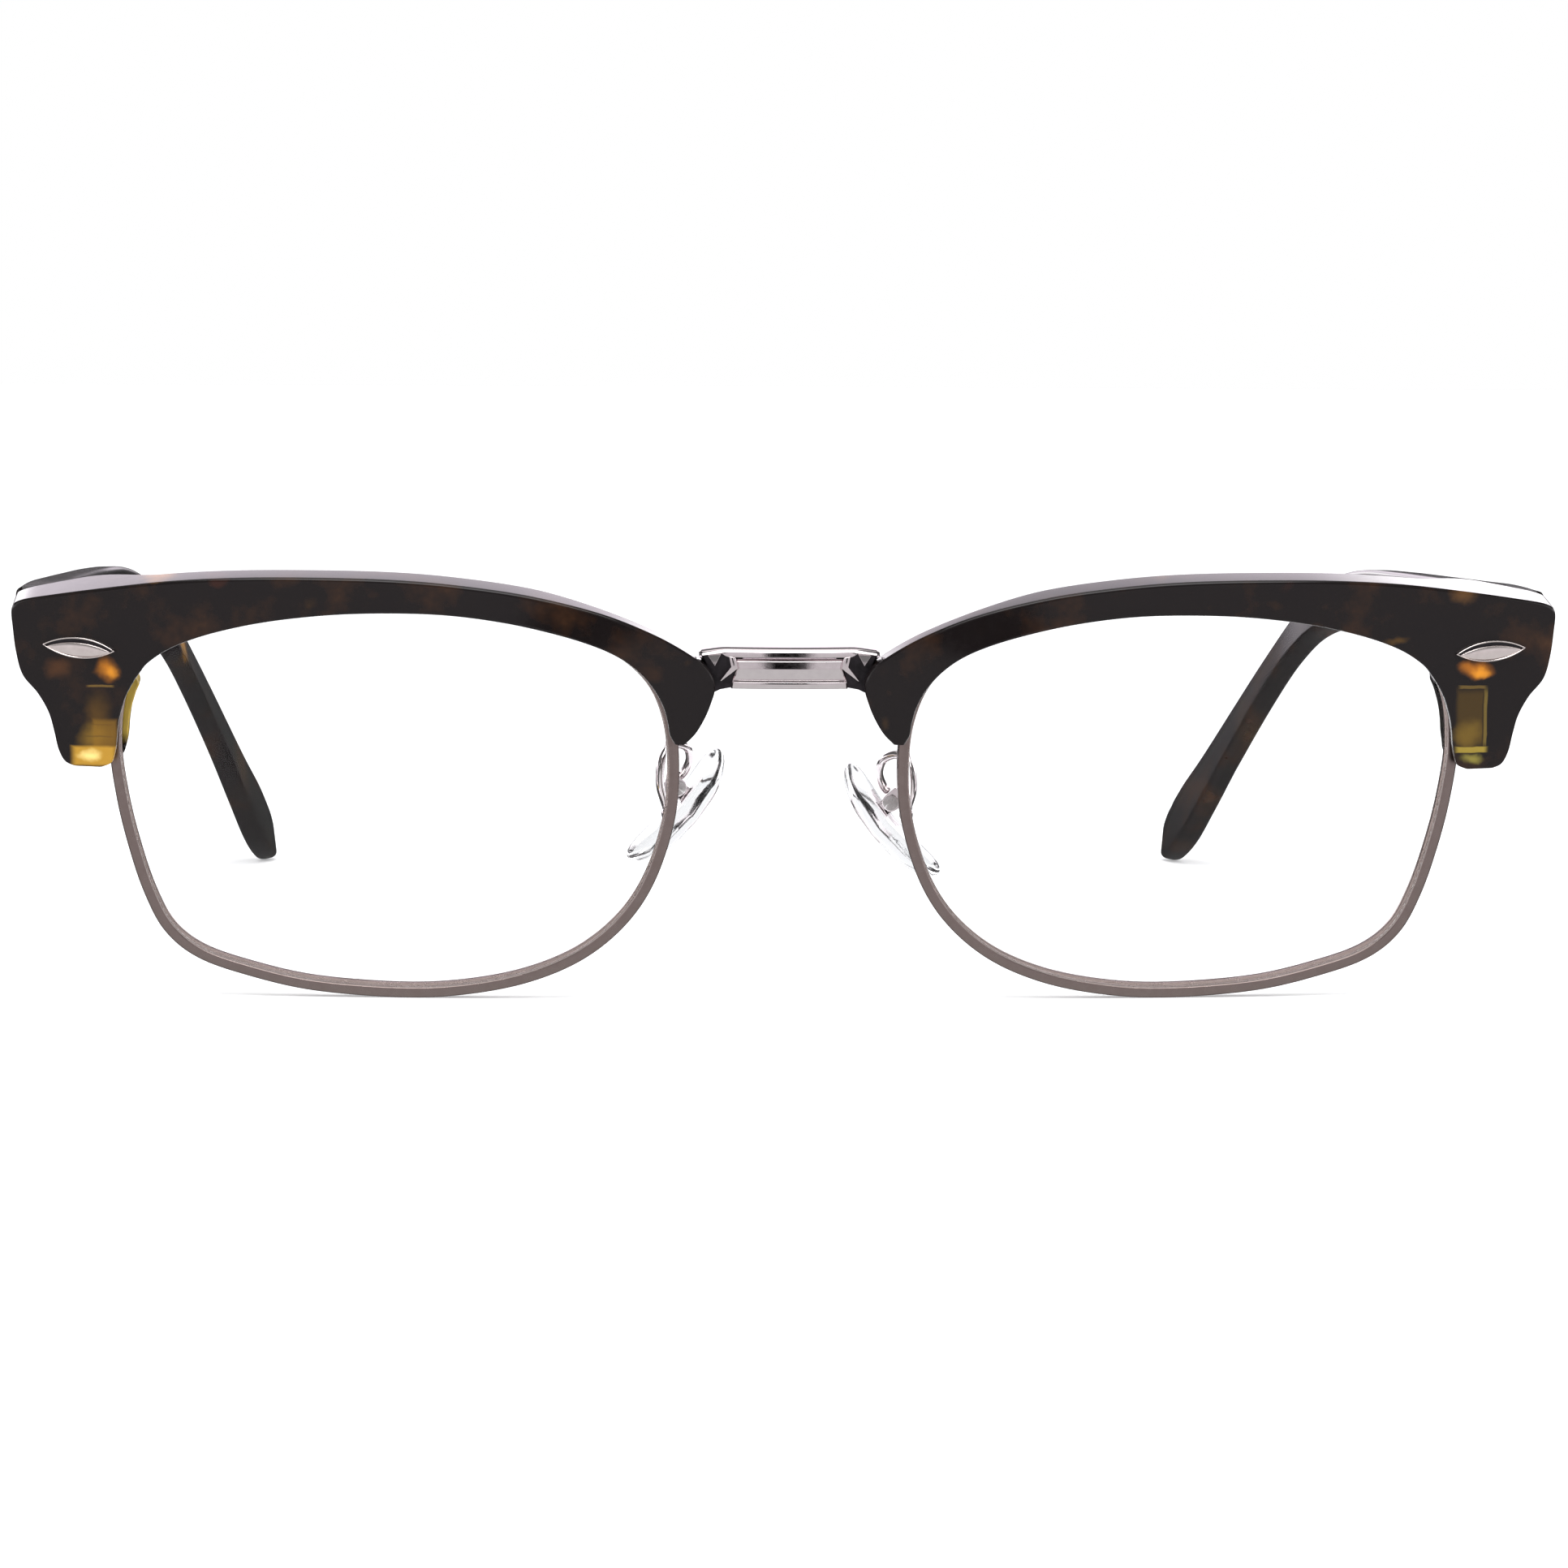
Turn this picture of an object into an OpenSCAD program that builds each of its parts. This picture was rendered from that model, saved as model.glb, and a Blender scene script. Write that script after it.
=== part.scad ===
// Half rim eyeglasses: two acetate brows over metal eyewires, joined by a metal bridge,
// with hinged acetate temples and nose pads that swivel on their arms.
// Millimetres. +X is the wearer's left, the front faces -Y, +Z is up. The glasses stand
// open on the bottoms of the eyewires and the ends of the temples, which is z = 0.
// The front is drawn upright, with u across, v up from the bottom of the eyewires and w the
// depth behind the surface that the lenses follow, and is then tilted as a whole.

/* [Front] */
// Tilt of the front, its top leaning forward
front_tilt = 8; // [0:0.5:12]
// Radius that the front is curved to
front_curve_r = 150; // [100:5:300]
// Angle that each half of the front is turned back by
face_form = 5; // [0:0.5:8]
// Distance from the middle of the front to the middle of each lens
lens_mid_u = 36.5; // [35:0.1:38]
// Height that the whole front is shifted by, so that the eyewires touch z = 0
front_lift = -0.64; // [-1:0.01:1]
// Shift along y that puts the origin under the middle of the open glasses
middle_y = -73.25; // [-76:0.05:-70]

/* [Brows] */
// Depth of the brow's front face in front of the eyewire
brow_front_t = 1.9; // [1.4:0.1:2.4]
// Depth of the brow behind the front of the eyewire, over the lens
brow_back_t = 2.6; // [2:0.1:3.2]
// Depth of the brow behind the front of the eyewire, beside the nose
brow_nose_t = 0.9; // [0.5:0.1:1.5]
// Plane that the ends of the brows are cut to, where the temples meet them
hinge_plane_y = 14.6; // [14:0.1:15.4]

/* [Eyewires and lenses] */
// Width of the eyewire seen from the front
wire_w = 1.0; // [0.8:0.05:1.2]
// Depth of the eyewire
wire_d = 2.2; // [2:0.1:2.6]
// Depth of the groove that holds the lens
groove_d = 0.45; // [0.3:0.05:0.5]
// Thickness of the lens
lens_t = 1.6; // [1.2:0.1:2]
// Gap between the lens edge and the eyewire
lens_gap = 0.02; // [0.01:0.01:0.05]

/* [Hinges] */
// Distance of the hinge pin from the middle of the front
pin_u = 66.2; // [65.8:0.1:66.6]
// Depth of the hinge pin behind the upright front
pin_y = 17.15; // [17.15:0.05:17.3]
// Height of the middle of the hinge
pin_v = 33.2; // [32.8:0.1:33.6]
// Radius of the knuckles
knuckle_r = 1.6; // [1.4:0.05:1.7]
// Height of one knuckle
knuckle_h = 1.05; // [0.9:0.05:1.1]
// Gap between knuckles
knuckle_gap = 0.05; // [0.04:0.01:0.08]
// Radius of the hinge screw's shank
pin_r = 0.7; // [0.6:0.05:0.8]
// Radial clearance round the hinge screw
pin_clear = 0.03; // [0.02:0.01:0.06]
// Thickness of the hinge plates
leaf_t = 0.9; // [0.7:0.1:1.0]

/* [Temples] */
// Angle that the right temple is set outwards, and the left one inwards
temple_toe = 0.6; // [0:0.1:1]
// Height of the pointed plaque on each temple's outer face, at its middle
temple_plaque_z = 34.7; // [34:0.1:35.4]

/* [Nose pads] */
// Length of a pad
pad_l = 13.4; // [13:0.2:15]
// Width of a pad
pad_w = 7.2; // [6.5:0.1:8]
// Thickness of a pad
pad_t = 2.2; // [1.8:0.1:2.6]
// Radius that a pad is curved to
pad_curve_r = 19; // [15:1:30]
// Lean of a pad towards the nose, seen from the front
pad_lean = 40; // [30:1:45]
// Turn of a pad, its rear edge away from the nose
pad_splay = 10; // [5:1:15]
// Height that the right pad stands over the mean, and the left one under it
pad_offset = 0.7; // [0:0.1:1]
// Diameter of the pad arm's wire
arm_d = 0.95; // [0.8:0.05:1.1]
// Radius of the pad screw's shank
pad_screw_r = 0.35; // [0.3:0.05:0.4]
// Radial clearance round the pad screw
pad_clear = 0.04; // [0.03:0.01:0.06]

/* [Hidden] */
$fn = 32;
ACETATE = "#2b211f";
METAL = "#a39594";
CHROME = "#c8c6c6";
CLEAR = "#dfe8ea";

// Height on the front where its curve is deepest
curve_v = 18;
// Depth of that point behind y = 0
curve_y = 2.27;
// Curve steps between two points of an outline
STEPS = 3;
// Slack that keeps two touching pieces of one body from overlapping
touch = 0.01;

// Middle line of the eyewire, right round the lens: [u, v]
EYEWIRE = [[36, 0.65], [44, 1.1], [50, 2.3], [54.6, 3.8], [57.5, 6.1], [59.3, 9.5],
    [60.7, 13.8], [61.8, 18.5], [62.4, 23.5], [61.8, 28.5], [59.4, 32.4], [55.2, 34.6],
    [49.6, 36.2], [43, 37.2], [36, 37.5], [28.6, 37.1], [21.5, 35.7], [16.2, 33.5],
    [12.8, 30.6], [11.1, 26.8], [10.6, 22.3], [11, 17.3], [12.7, 11.8], [15.3, 7.7],
    [19.2, 4.4], [24.2, 2.2], [30, 1]];

// Brow, from the tip beside the nose to the foot: lens side u, v, outer side u, v, and how far
// from the lens side the pocket for the eyewire and the rim lock reaches
BROW = [[10.6, 24.9, 9.6, 24.9, 0.5], [11.1, 25.8, 8.7, 25.8, 1.2], [11.3, 27, 7.9, 27.1, 1.8],
    [11.8, 28.6, 7.3, 28.5, 1.9], [12.8, 30.3, 6.9, 30.1, 2], [14.2, 31.8, 7.4, 31.6, 2.3],
    [16, 33.05, 9, 33, 2.7], [18.4, 34.1, 12.5, 35, 2.9], [21.7, 35.1, 17.5, 37, 2.3],
    [26, 36.05, 24, 38.6, 1.8], [31, 36.7, 30.5, 39.5, 1.7], [36, 36.86, 36.5, 39.92, 1.7],
    [42, 36.6, 43.5, 39.97, 1.7], [48, 35.8, 50.5, 39.75, 1.8], [53, 34.6, 57, 39.2, 2],
    [56.7, 33.2, 63, 38.3, 2.2], [59, 31.7, 68, 37.4, 2.1], [60, 30.5, 71.1, 36.7, 2.2],
    [60.4, 29.9, 71.9, 35.9, 2.4], [60.8, 29.2, 71.8, 34, 3], [61.2, 28.4, 71.5, 31.8, 4.4],
    [61.5, 27.5, 70.9, 29.8, 4.8], [61.8, 26.4, 69.5, 28.2, 4.7], [62, 25.1, 68.5, 26.5, 4.6],
    [62.1, 23.9, 68, 24.8, 4.4], [62.3, 22.8, 67.6, 23.1, 4], [62.6, 22.1, 67, 22, 3],
    [63.4, 21.7, 66.2, 21.65, 1.6]];

// Temple, front to back: y, z and x of its middle, half its height, half its thickness, and
// the angle that its top leans outwards
TEMPLE = [[12, 34.4, 70.15, 3.4, 1.9, 0], [26, 34.3, 70.15, 3.4, 1.9, 0],
    [42, 34, 69.9, 3.3, 1.8, 0], [60, 33.7, 69.2, 3.2, 1.65, 0], [78, 33.4, 68.3, 3.1, 1.5, 0],
    [92, 33.1, 66.9, 2.95, 1.4, 2], [101, 32.2, 65.3, 2.8, 1.3, 8],
    [108, 30.3, 63.5, 2.7, 1.2, 16], [114, 27, 61.7, 2.65, 1.15, 20],
    [121, 22.2, 59.7, 2.75, 1.15, 20], [129, 16.2, 57.4, 3, 1.15, 18],
    [137, 10.1, 55.2, 3.4, 1.2, 16], [143, 5.8, 53.6, 3.7, 1.25, 14],
    [147, 3.3, 52.6, 3.2, 1.2, 14], [149.2, 2.15, 52, 2.3, 0.95, 14],
    [150, 1.75, 51.8, 1.2, 0.6, 14]];

// Pad arm's wire, from the eyewire to the pad's box: u, w, v
ARM = [[11.05, 2.36, 17.4], [11.12, 3, 17.6], [11.75, 3.9, 19.5], [11.6, 5.2, 21.5],
    [10.6, 6.5, 22.6], [9.3, 7.6, 22.1], [8.9, 8.5, 20.7], [9.3, 9.15, 19.4], [9.75, 9.4, 18.8]];

// ---- curves and the surface of the front ----

function spline(a, b, c, d, t) = 0.5 * ((2 * b) + (c - a) * t
    + (2 * a - 5 * b + 4 * c - d) * t * t + (3 * b - a - 3 * c + d) * t * t * t);
function open_path(p, n = STEPS) = [for (i = [0:len(p) - 2], k = [0:n - 1])
    spline(p[max(i - 1, 0)], p[i], p[i + 1], p[min(i + 2, len(p) - 1)], k / n), p[len(p) - 1]];
function closed_path(p, n = STEPS) = let(m = len(p)) [for (i = [0:m - 1], k = [0:n - 1])
    spline(p[(i + m - 1) % m], p[i], p[(i + 1) % m], p[(i + 2) % m], k / n)];
function unit(v) = v / norm(v);
function ramp(lo, hi, t) = let(x = min(1, max(0, (t - lo) / (hi - lo)))) x * x * (3 - 2 * x);

// Depth of the lens surface behind y = 0, at a point of the upright front
function depth(u, v) = let(a = abs(u) - lens_mid_u)
    (a * a + pow(v - curve_v, 2)) / (2 * front_curve_r) + a * tan(face_form) + curve_y;
function slope_u(u) = (abs(u) - lens_mid_u) / front_curve_r + tan(face_form);
function slope_v(v) = (v - curve_v) / front_curve_r;

// Rings of points joined into one closed solid, or a closed loop of rings
module loft(rings, loop = false) {
    n = len(rings);
    m = len(rings[0]);
    last = loop ? n - 1 : n - 2;
    sides = [for (i = [0:last], j = [0:m - 1], k = [0, 1])
        let(a = i * m, b = ((i + 1) % n) * m, q = (j + 1) % m)
        k == 0 ? [a + j, a + q, b + j] : [a + q, b + q, b + j]];
    caps = loop ? [] : [[for (j = [m - 1:-1:0]) j], [for (j = [0:m - 1]) (n - 1) * m + j]];
    polyhedron([for (r = rings) each r], concat(sides, caps), convexity = 6);
}

// The wearer's left as drawn, the right as its mirror image
module on_side(side) {
    if (side == "left") children();
    else mirror([1, 0, 0]) children();
}

// The open glasses, moved so that their middle is over the origin
module placed() {
    translate([0, middle_y, 0]) children();
}

// The upright front, tilted to how it stands
module tilted() {
    placed() translate([0, 0, front_lift]) rotate([front_tilt, 0, 0]) children();
}

// A local frame on the front's surface: x across, z up, y straight back
module at_front(u, v, w = 0) {
    translate([u, depth(u, v) + w, v]) rotate([-atan(slope_v(v)), 0, atan(slope_u(u))])
        children();
}

// ---- brows ----

// Depth of the brow's back. Its end is cut to the hinge plane, and its foot is a deep block
foot_t = 2.9;
function brow_back(u, v) = let(
    tip = u < lens_mid_u ? ramp(24.8, 27.5, v) : 1,
    lens_side = tip * (brow_nose_t + (brow_back_t - brow_nose_t) * ramp(15, 24, u)),
    foot = foot_t * ramp(58, 60.5, u) * ramp(33.5, 31, v),
    end_t = hinge_plane_y - depth(u, v) - lens_side - foot)
    lens_side + foot + end_t * ramp(58, 65.5, u) * ramp(27.5, 30.2, v);

// Section of the brow: p runs from the lens side to the outer side, w is the depth. The pocket
// is open at the back over the lens, and closed by the foot's block below it
slot_t = 2.45;
edge_r = 0.35;
overhang = 0.3;
function brow_section(s) = let(
    a = [s[0], s[1]], b = [s[2], s[3]], w = norm(b - a), edge = min(edge_r, 0.3 * w),
    step = min(s[4], w - edge - 0.15), soft = edge / 3, f = -brow_front_t, lip = -touch,
    closed = s[0] > 50 ? ramp(31, 28.8, s[1]) : 0,
    g = (step - 0.06) * (1 - closed) - overhang * closed,
    c_g = a + (b - a) * g / w, slot = min(slot_t, (brow_back(c_g[0], c_g[1]) + lip) / 2),
    prof = [[0, -edge], [0, f + edge], [soft, f + soft], [edge, f], [w - edge, f],
        [w - soft, f + soft], [w, f + edge], [w, "b", 0.5], [w - soft, "b", 0.15],
        [w - edge, "b", 0], [g, "b", 0], [g, slot], [step, slot], [step, lip], [soft, lip]])
    [for (q = prof) let(c = a + (b - a) * q[0] / w,
        d = q[1] == "b" ? max(touch, brow_back(c[0], c[1]) - q[2]) : q[1])
        [c[0], depth(c[0], c[1]) + d, c[1]]];

module brow(side) {
    color(ACETATE) tilted() on_side(side) loft([for (s = open_path(BROW)) brow_section(s)]);
}

// Pointed oval with its long axis on x
module lozenge(l, h) {
    r = (l * l / 4 + h * h / 4) / h;
    intersection() {
        translate([0, r - h / 2]) circle(r = r, $fn = 64);
        translate([0, h / 2 - r]) circle(r = r, $fn = 64);
    }
}

// Pointed metal oval on the front of the brow
plaque_l = 6.8;
plaque_h = 1.95;
plaque_t = 0.3;
plaque_u = 65.55;
plaque_v = 32.7;
module brow_plaque(side) {
    color(CHROME) tilted() on_side(side) at_front(plaque_u, plaque_v, -brow_front_t - touch)
        rotate([90, 0, 0]) linear_extrude(plaque_t) lozenge(plaque_l, plaque_h);
}

// ---- eyewires and lenses ----

function wire_points() = closed_path(EYEWIRE);
function outward(p, i) = let(n = len(p), t = unit(p[(i + 1) % n] - p[(i + n - 1) % n]))
    [t[1], -t[0]];

// A ring of [n, w] points at each place round the eyewire
function rim_rings(prof) = let(p = wire_points()) [for (i = [0:len(p) - 1])
    let(o = outward(p, i)) [for (q = prof) let(c = p[i] + o * q[0])
        [c[0], depth(c[0], c[1]) + q[1], c[1]]]];

module eyewire(side) {
    h = wire_w / 2;
    mid = wire_d / 2;
    prof = [[-h, 0.15], [-h + 0.15, 0], [h - 0.2, 0], [h, 0.25], [h, wire_d - 0.25],
        [h - 0.2, wire_d], [-h + 0.15, wire_d], [-h, wire_d - 0.15], [-h, mid + groove_d],
        [groove_d - h, mid], [-h, mid - groove_d]];
    color(METAL) tilted() on_side(side) loft([for (r = rim_rings(prof))
        [for (i = [len(r) - 1:-1:0]) r[i]]], loop = true);
}

// Rings of the lens run from the middle of its front, over its bevel, to the middle of its back
module lens(side) {
    edge = -wire_w / 2 - lens_gap;
    bevel = edge + groove_d - lens_gap;
    mid = wire_d / 2;
    front = mid - lens_t / 2;
    back = mid + lens_t / 2;
    centre = [lens_mid_u, curve_v + 0.5];
    p = wire_points();
    rings = [[0.02, edge, front], [0.6, edge, front], [1, edge, front],
        [1, edge, mid - groove_d], [1, bevel, mid], [1, edge, mid + groove_d],
        [1, edge, back], [0.6, edge, back], [0.02, edge, back]];
    color(CLEAR, 0.35) tilted() on_side(side) loft([for (r = rings) [for (i = [0:len(p) - 1])
        let(rim = p[i] + outward(p, i) * r[1], q = centre + (rim - centre) * r[0])
        [q[0], depth(q[0], q[1]) + r[2], q[1]]]]);
}

// ---- rim lock: two blocks on the eyewire's ends, drawn together by a screw ----

lock_u = 64.75;
lock_v = 26;
lock_w = 2.4;
lock_d = 2.1;
lock_h = 2.3;
lock_screw_r = 0.5;
lock_bore_r = 0.53;

// Screw head standing on z = 0, with a slot across its top
slot_w = 0.26;
module slotted_head(r, t) {
    difference() {
        translate([0, 0, 0.02]) cylinder(r = r, h = t);
        translate([-r - 0.1, -slot_w / 2, t * 0.55]) cube([2 * r + 0.2, slot_w, t]);
    }
}

module rim_lock(side, up) {
    color(METAL) tilted() on_side(side) at_front(lock_u, lock_v, 0.05) difference() {
        translate([-lock_w / 2, 0, up ? 0.03 : -lock_h - 0.03]) cube([lock_w, lock_d, lock_h]);
        translate([0, lock_d / 2, -5]) cylinder(r = lock_bore_r, h = 10);
    }
}

module rim_lock_screw(side) {
    head_r = 0.95;
    head_t = 0.55;
    color(METAL) tilted() on_side(side) at_front(lock_u, lock_v, 0.05)
        translate([0, lock_d / 2, -lock_h]) {
        translate([0, 0, -0.1]) cylinder(r = lock_screw_r, h = 2 * lock_h + 0.1);
        translate([0, 0, -0.03]) rotate([180, 0, 0]) slotted_head(head_r, head_t);
    }
}

// ---- bridge ----

bridge_v = 31.7;
bridge_t = 2.2;
bridge_y = 2.1;
panel_u = 5;
panel_sink = 0.45;
wing_t = 0.9;
wing_y = depth(8, bridge_v) + brow_nose_t + touch + 0.1;
// Screw that holds each brow to its wing
brow_screw_u = 9.6;
brow_screw_v = 31.6;
brow_screw_r = 0.5;

function mirrored(p) = concat(p, [for (i = [len(p) - 1:-1:0]) [-p[i][0], p[i][1]]]);

// Outline of the bar, its upper edge reaching over the brows' shoulders
BAR = [[0, 29.8], [5.6, 29.8], [6.5, 29.6], [6.85, 29.45], [6.85, 30.6], [7.15, 31.8],
    [8.45, 33.2], [5.7, 33.65], [0, 33.7]];
// Outline of one wing, which lies on the back of the brow and reaches the eyewire
WING = [[4.5, 29.9], [6.5, 29.5], [10.9, 29.9], [11.75, 30.9], [12.2, 31.6], [11.4, 33.2],
    [8.2, 33.3], [4.5, 32.6]];

module bar_shape() {
    polygon(mirrored([for (i = [1:len(BAR) - 2]) BAR[i]]));
}

module upright(y, t) {
    translate([0, y + t, 0]) rotate([90, 0, 0]) linear_extrude(t) children();
}

module bridge() {
    color(CHROME) tilted() difference() {
        union() {
            upright(bridge_y, bridge_t) bar_shape();
            for (x = [-1, 1]) scale([x, 1, 1]) upright(wing_y, wing_t) polygon(WING);
        }
        // Sunk panel with notched ends
        upright(bridge_y - 1, 1 + panel_sink) polygon(mirrored([[panel_u, 32.35], [4.55, 31.4],
            [4.95, 30.55], [4.95, 30.4]]));
        // Bevel along the upper edge
        translate([-10, bridge_y, 33.05]) rotate([35, 0, 0]) translate([0, -2, 0])
            cube([20, 2, 3]);
        // Holes for the screws that hold the brows
        for (x = [-1, 1]) translate([x * brow_screw_u, 0, brow_screw_v])
            rotate([-90, 0, 0]) cylinder(r = brow_screw_r + 0.05, h = 12);
    }
}

// ---- screws that hold the brow to the bridge's wing ----

module brow_screws(side) {
    head_r = 1.05;
    head_t = 0.5;
    color(METAL) tilted() on_side(side) translate([brow_screw_u, wing_y + wing_t, brow_screw_v])
        rotate([-90, 0, 0]) {
        slotted_head(head_r, head_t);
        translate([0, 0, 0.05 - wing_t]) cylinder(r = brow_screw_r, h = wing_t);
    }
}

// ---- hinges ----

// The middle of knuckle i of five, counted from the bottom
function knuckle_v(i) = pin_v + (i - 2) * (knuckle_h + knuckle_gap);
leaf_v0 = pin_v - 2.5 * knuckle_h - 2 * knuckle_gap;
leaf_h = 5 * knuckle_h + 4 * knuckle_gap;
leaf_y = hinge_plane_y + touch;
temple_face_u = pin_u + 2;
pin_head_r = 1.15;
// Outline of the temple's hinge plate. It turns down to run along the temple
temple_leaf = [[0, -leaf_h / 2], [8.4, -3.5], [9, -3], [9, 0.4], [8.4, 1], [0, leaf_h / 2]];

module pin_hole() {
    translate([pin_u, pin_y, pin_v - 10]) cylinder(r = pin_r + pin_clear, h = 20);
}

module front_hinge(side) {
    color(CHROME) tilted() on_side(side) difference() {
        union() {
            translate([61.6, leaf_y, leaf_v0]) cube([6.2, leaf_t, leaf_h]);
            for (i = [0, 2, 4]) translate([0, 0, knuckle_v(i) - knuckle_h / 2]) {
                translate([pin_u, pin_y, 0]) cylinder(r = knuckle_r, h = knuckle_h);
                translate([pin_u - 1.2, leaf_y + 0.2, 0])
                    cube([2.4, pin_y - leaf_y - 0.2, knuckle_h]);
            }
        }
        pin_hole();
        for (u = front_rivet_u) translate([u, hinge_plane_y - 1, pin_v]) rotate([-90, 0, 0])
            cylinder(r = rivet_bore_r, h = 3);
    }
}

module temple_hinge(side) {
    color(CHROME) tilted() on_side(side) difference() {
        union() {
            translate([temple_face_u - leaf_t, pin_y + 1.85, pin_v]) rotate([90, 0, 90])
                linear_extrude(leaf_t) polygon(temple_leaf);
            for (i = [1, 3]) translate([0, 0, knuckle_v(i) - knuckle_h / 2]) {
                translate([pin_u, pin_y, 0]) cylinder(r = knuckle_r, h = knuckle_h);
                translate([pin_u, pin_y - 0.4, 0])
                    cube([temple_face_u - pin_u, 2.6, knuckle_h]);
            }
        }
        pin_hole();
        for (y = temple_rivet_y) translate([temple_face_u - 2, pin_y + y, pin_v])
            rotate([0, 90, 0]) cylinder(r = rivet_bore_r, h = 3);
    }
}

module hinge_screw(side) {
    top = leaf_v0 + leaf_h;
    color(CHROME) tilted() on_side(side) translate([pin_u, pin_y, 0]) {
        translate([0, 0, leaf_v0 - 0.25]) cylinder(r = pin_r, h = leaf_h + 0.5);
        translate([0, 0, top]) slotted_head(pin_head_r, 0.55);
    }
}

// Rivet through a hinge plate, its head standing proud of the plate
rivet_r = 0.48;
rivet_bore_r = 0.5;
front_rivet_u = [62.5, 64];
temple_rivet_y = [4.6, 8.6];
module rivet() {
    cylinder(r = rivet_r, h = leaf_t + 0.1);
    translate([0, 0, leaf_t + touch]) cylinder(r = 0.7, h = 0.3);
}

module front_rivets(side) {
    color(METAL) tilted() on_side(side) for (u = front_rivet_u)
        translate([u, leaf_y, pin_v]) rotate([-90, 0, 0]) rivet();
}

module temple_rivets(side) {
    color(METAL) tilted() on_side(side) for (y = temple_rivet_y)
        translate([temple_face_u, pin_y + y, pin_v]) rotate([0, -90, 0]) rivet();
}

// ---- temples ----

// Shift of the temple along x, growing from this far behind the front
toe_y = 30;
function toe_shift(side, y) = (side == "right" ? 1 : -1) * max(0, y - toe_y) * tan(temple_toe);

function temple_section(side, t, i) = let(
    m = len(t), s = t[i], a = t[max(i - 1, 0)], b = t[min(i + 1, m - 1)],
    go = unit([b[2] - a[2], b[0] - a[0], b[1] - a[1]]),
    across = unit([go[1], -go[0], 0]), up = cross(across, go),
    a_t = across * cos(s[5]) - up * sin(s[5]), up_t = up * cos(s[5]) + across * sin(s[5]),
    lean = tan(front_tilt) * (1 - ramp(0, 16, s[0] - t[0][0])),
    corner = [[1, 0.7], [0.8, 0.93], [0.4, 1]],
    quad = concat(corner, [for (k = [2:-1:0]) [-corner[k][0], corner[k][1]]],
        [for (c = corner) [-c[0], -c[1]]], [for (k = [2:-1:0]) [corner[k][0], -corner[k][1]]]))
    [for (q = quad) let(p = [s[2], s[0], s[1]] + a_t * q[0] * s[4] + up_t * q[1] * s[3])
        [p[0] + toe_shift(side, s[0]), p[1] - (p[2] - s[1]) * lean, p[2]]];

module temple(side) {
    t = open_path(TEMPLE, 2);
    color(ACETATE) placed() on_side(side) loft([for (i = [len(t) - 1:-1:0])
        temple_section(side, t, i)]);
}

module temple_plaque(side) {
    color(CHROME) placed() on_side(side) translate([72.08, 19, temple_plaque_z])
        rotate([90, 0, 90]) linear_extrude(0.4) lozenge(plaque_l, plaque_h);
}

// ---- nose pads ----

function pad_rise(side) = side == "right" ? pad_offset : -pad_offset;
pad_pos = [8.6, 9.4, 17.2];

// Pad frame: x is away from the nose, y back along the pad's width, z up along its length
module at_pad(side) {
    placed() on_side(side) translate(pad_pos + [0, 0, pad_rise(side)])
        rotate([0, 0, -pad_splay]) rotate([0, -pad_lean, 0]) children();
}

// The wire's points, standing as the front stands
function arm_points(side) = [for (i = [0:len(ARM) - 1])
    let(k = ARM[i], share = i / (len(ARM) - 1), v = k[2] + pad_rise(side) * min(1, 1.3 * share),
        y = depth(k[0], v) + k[1])
    [k[0], y * cos(front_tilt) - v * sin(front_tilt),
        v * cos(front_tilt) + y * sin(front_tilt) + front_lift]];

module tube(points, r, sides = 8) {
    p = open_path(points);
    n = len(p);
    loft([for (i = [0:n - 1]) let(
        go = unit(p[min(i + 1, n - 1)] - p[max(i - 1, 0)]),
        a = unit(cross(go, [0.3, 1, 0.2])), b = cross(go, a))
        [for (k = [0:sides - 1]) p[i] + r * (a * cos(k * 360 / sides)
            + b * sin(k * 360 / sides))]]);
}

module pad_arm(side) {
    color(CHROME) placed() on_side(side) tube(arm_points(side), arm_d / 2);
}

// The pad turns on a screw along y, this far from the middle of the pad
pad_pin_x = 2.15;
tab_r = 0.7;
tab_w = 1.4;
cheek_r = 0.85;
cheek_t = 0.45;
cheek_gap = 0.1;
box_floor_x = pad_pin_x + tab_r + 0.15;
box_floor_t = 0.4;
// The insert sits this far above the middle of the pad
insert_rise = 1.3;

module pad_box(side) {
    color(CHROME) at_pad(side) difference() {
        union() {
            for (y = [-1, 1]) translate([0, y * (tab_w / 2 + cheek_gap + cheek_t / 2), 0]) {
                translate([pad_pin_x, cheek_t / 2, 0]) rotate([90, 0, 0])
                    cylinder(r = cheek_r, h = cheek_t);
                translate([pad_pin_x, -cheek_t / 2, -cheek_r])
                    cube([box_floor_x - pad_pin_x + box_floor_t, cheek_t, 2 * cheek_r]);
            }
            translate([box_floor_x, -tab_w / 2 - cheek_gap - cheek_t, -cheek_r])
                cube([box_floor_t, tab_w + 2 * (cheek_gap + cheek_t), 2 * cheek_r]);
        }
        translate([pad_pin_x, 5, 0]) rotate([90, 0, 0]) cylinder(r = pad_screw_r + touch, h = 10);
    }
}

module pad_screw(side) {
    half = tab_w / 2 + cheek_gap + cheek_t;
    color(CHROME) at_pad(side) translate([pad_pin_x, 0, 0]) rotate([90, 0, 0]) {
        translate([0, 0, -half - 0.1]) cylinder(r = pad_screw_r, h = 2 * half + 0.3);
        translate([0, 0, half]) slotted_head(0.7, 0.4);
    }
}

module stadium(l, w) {
    translate([-(l - w) / 2, 0]) circle(d = w, $fn = 48);
    translate([(l - w) / 2, 0]) circle(d = w, $fn = 48);
    square([l - w, w], center = true);
}

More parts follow.
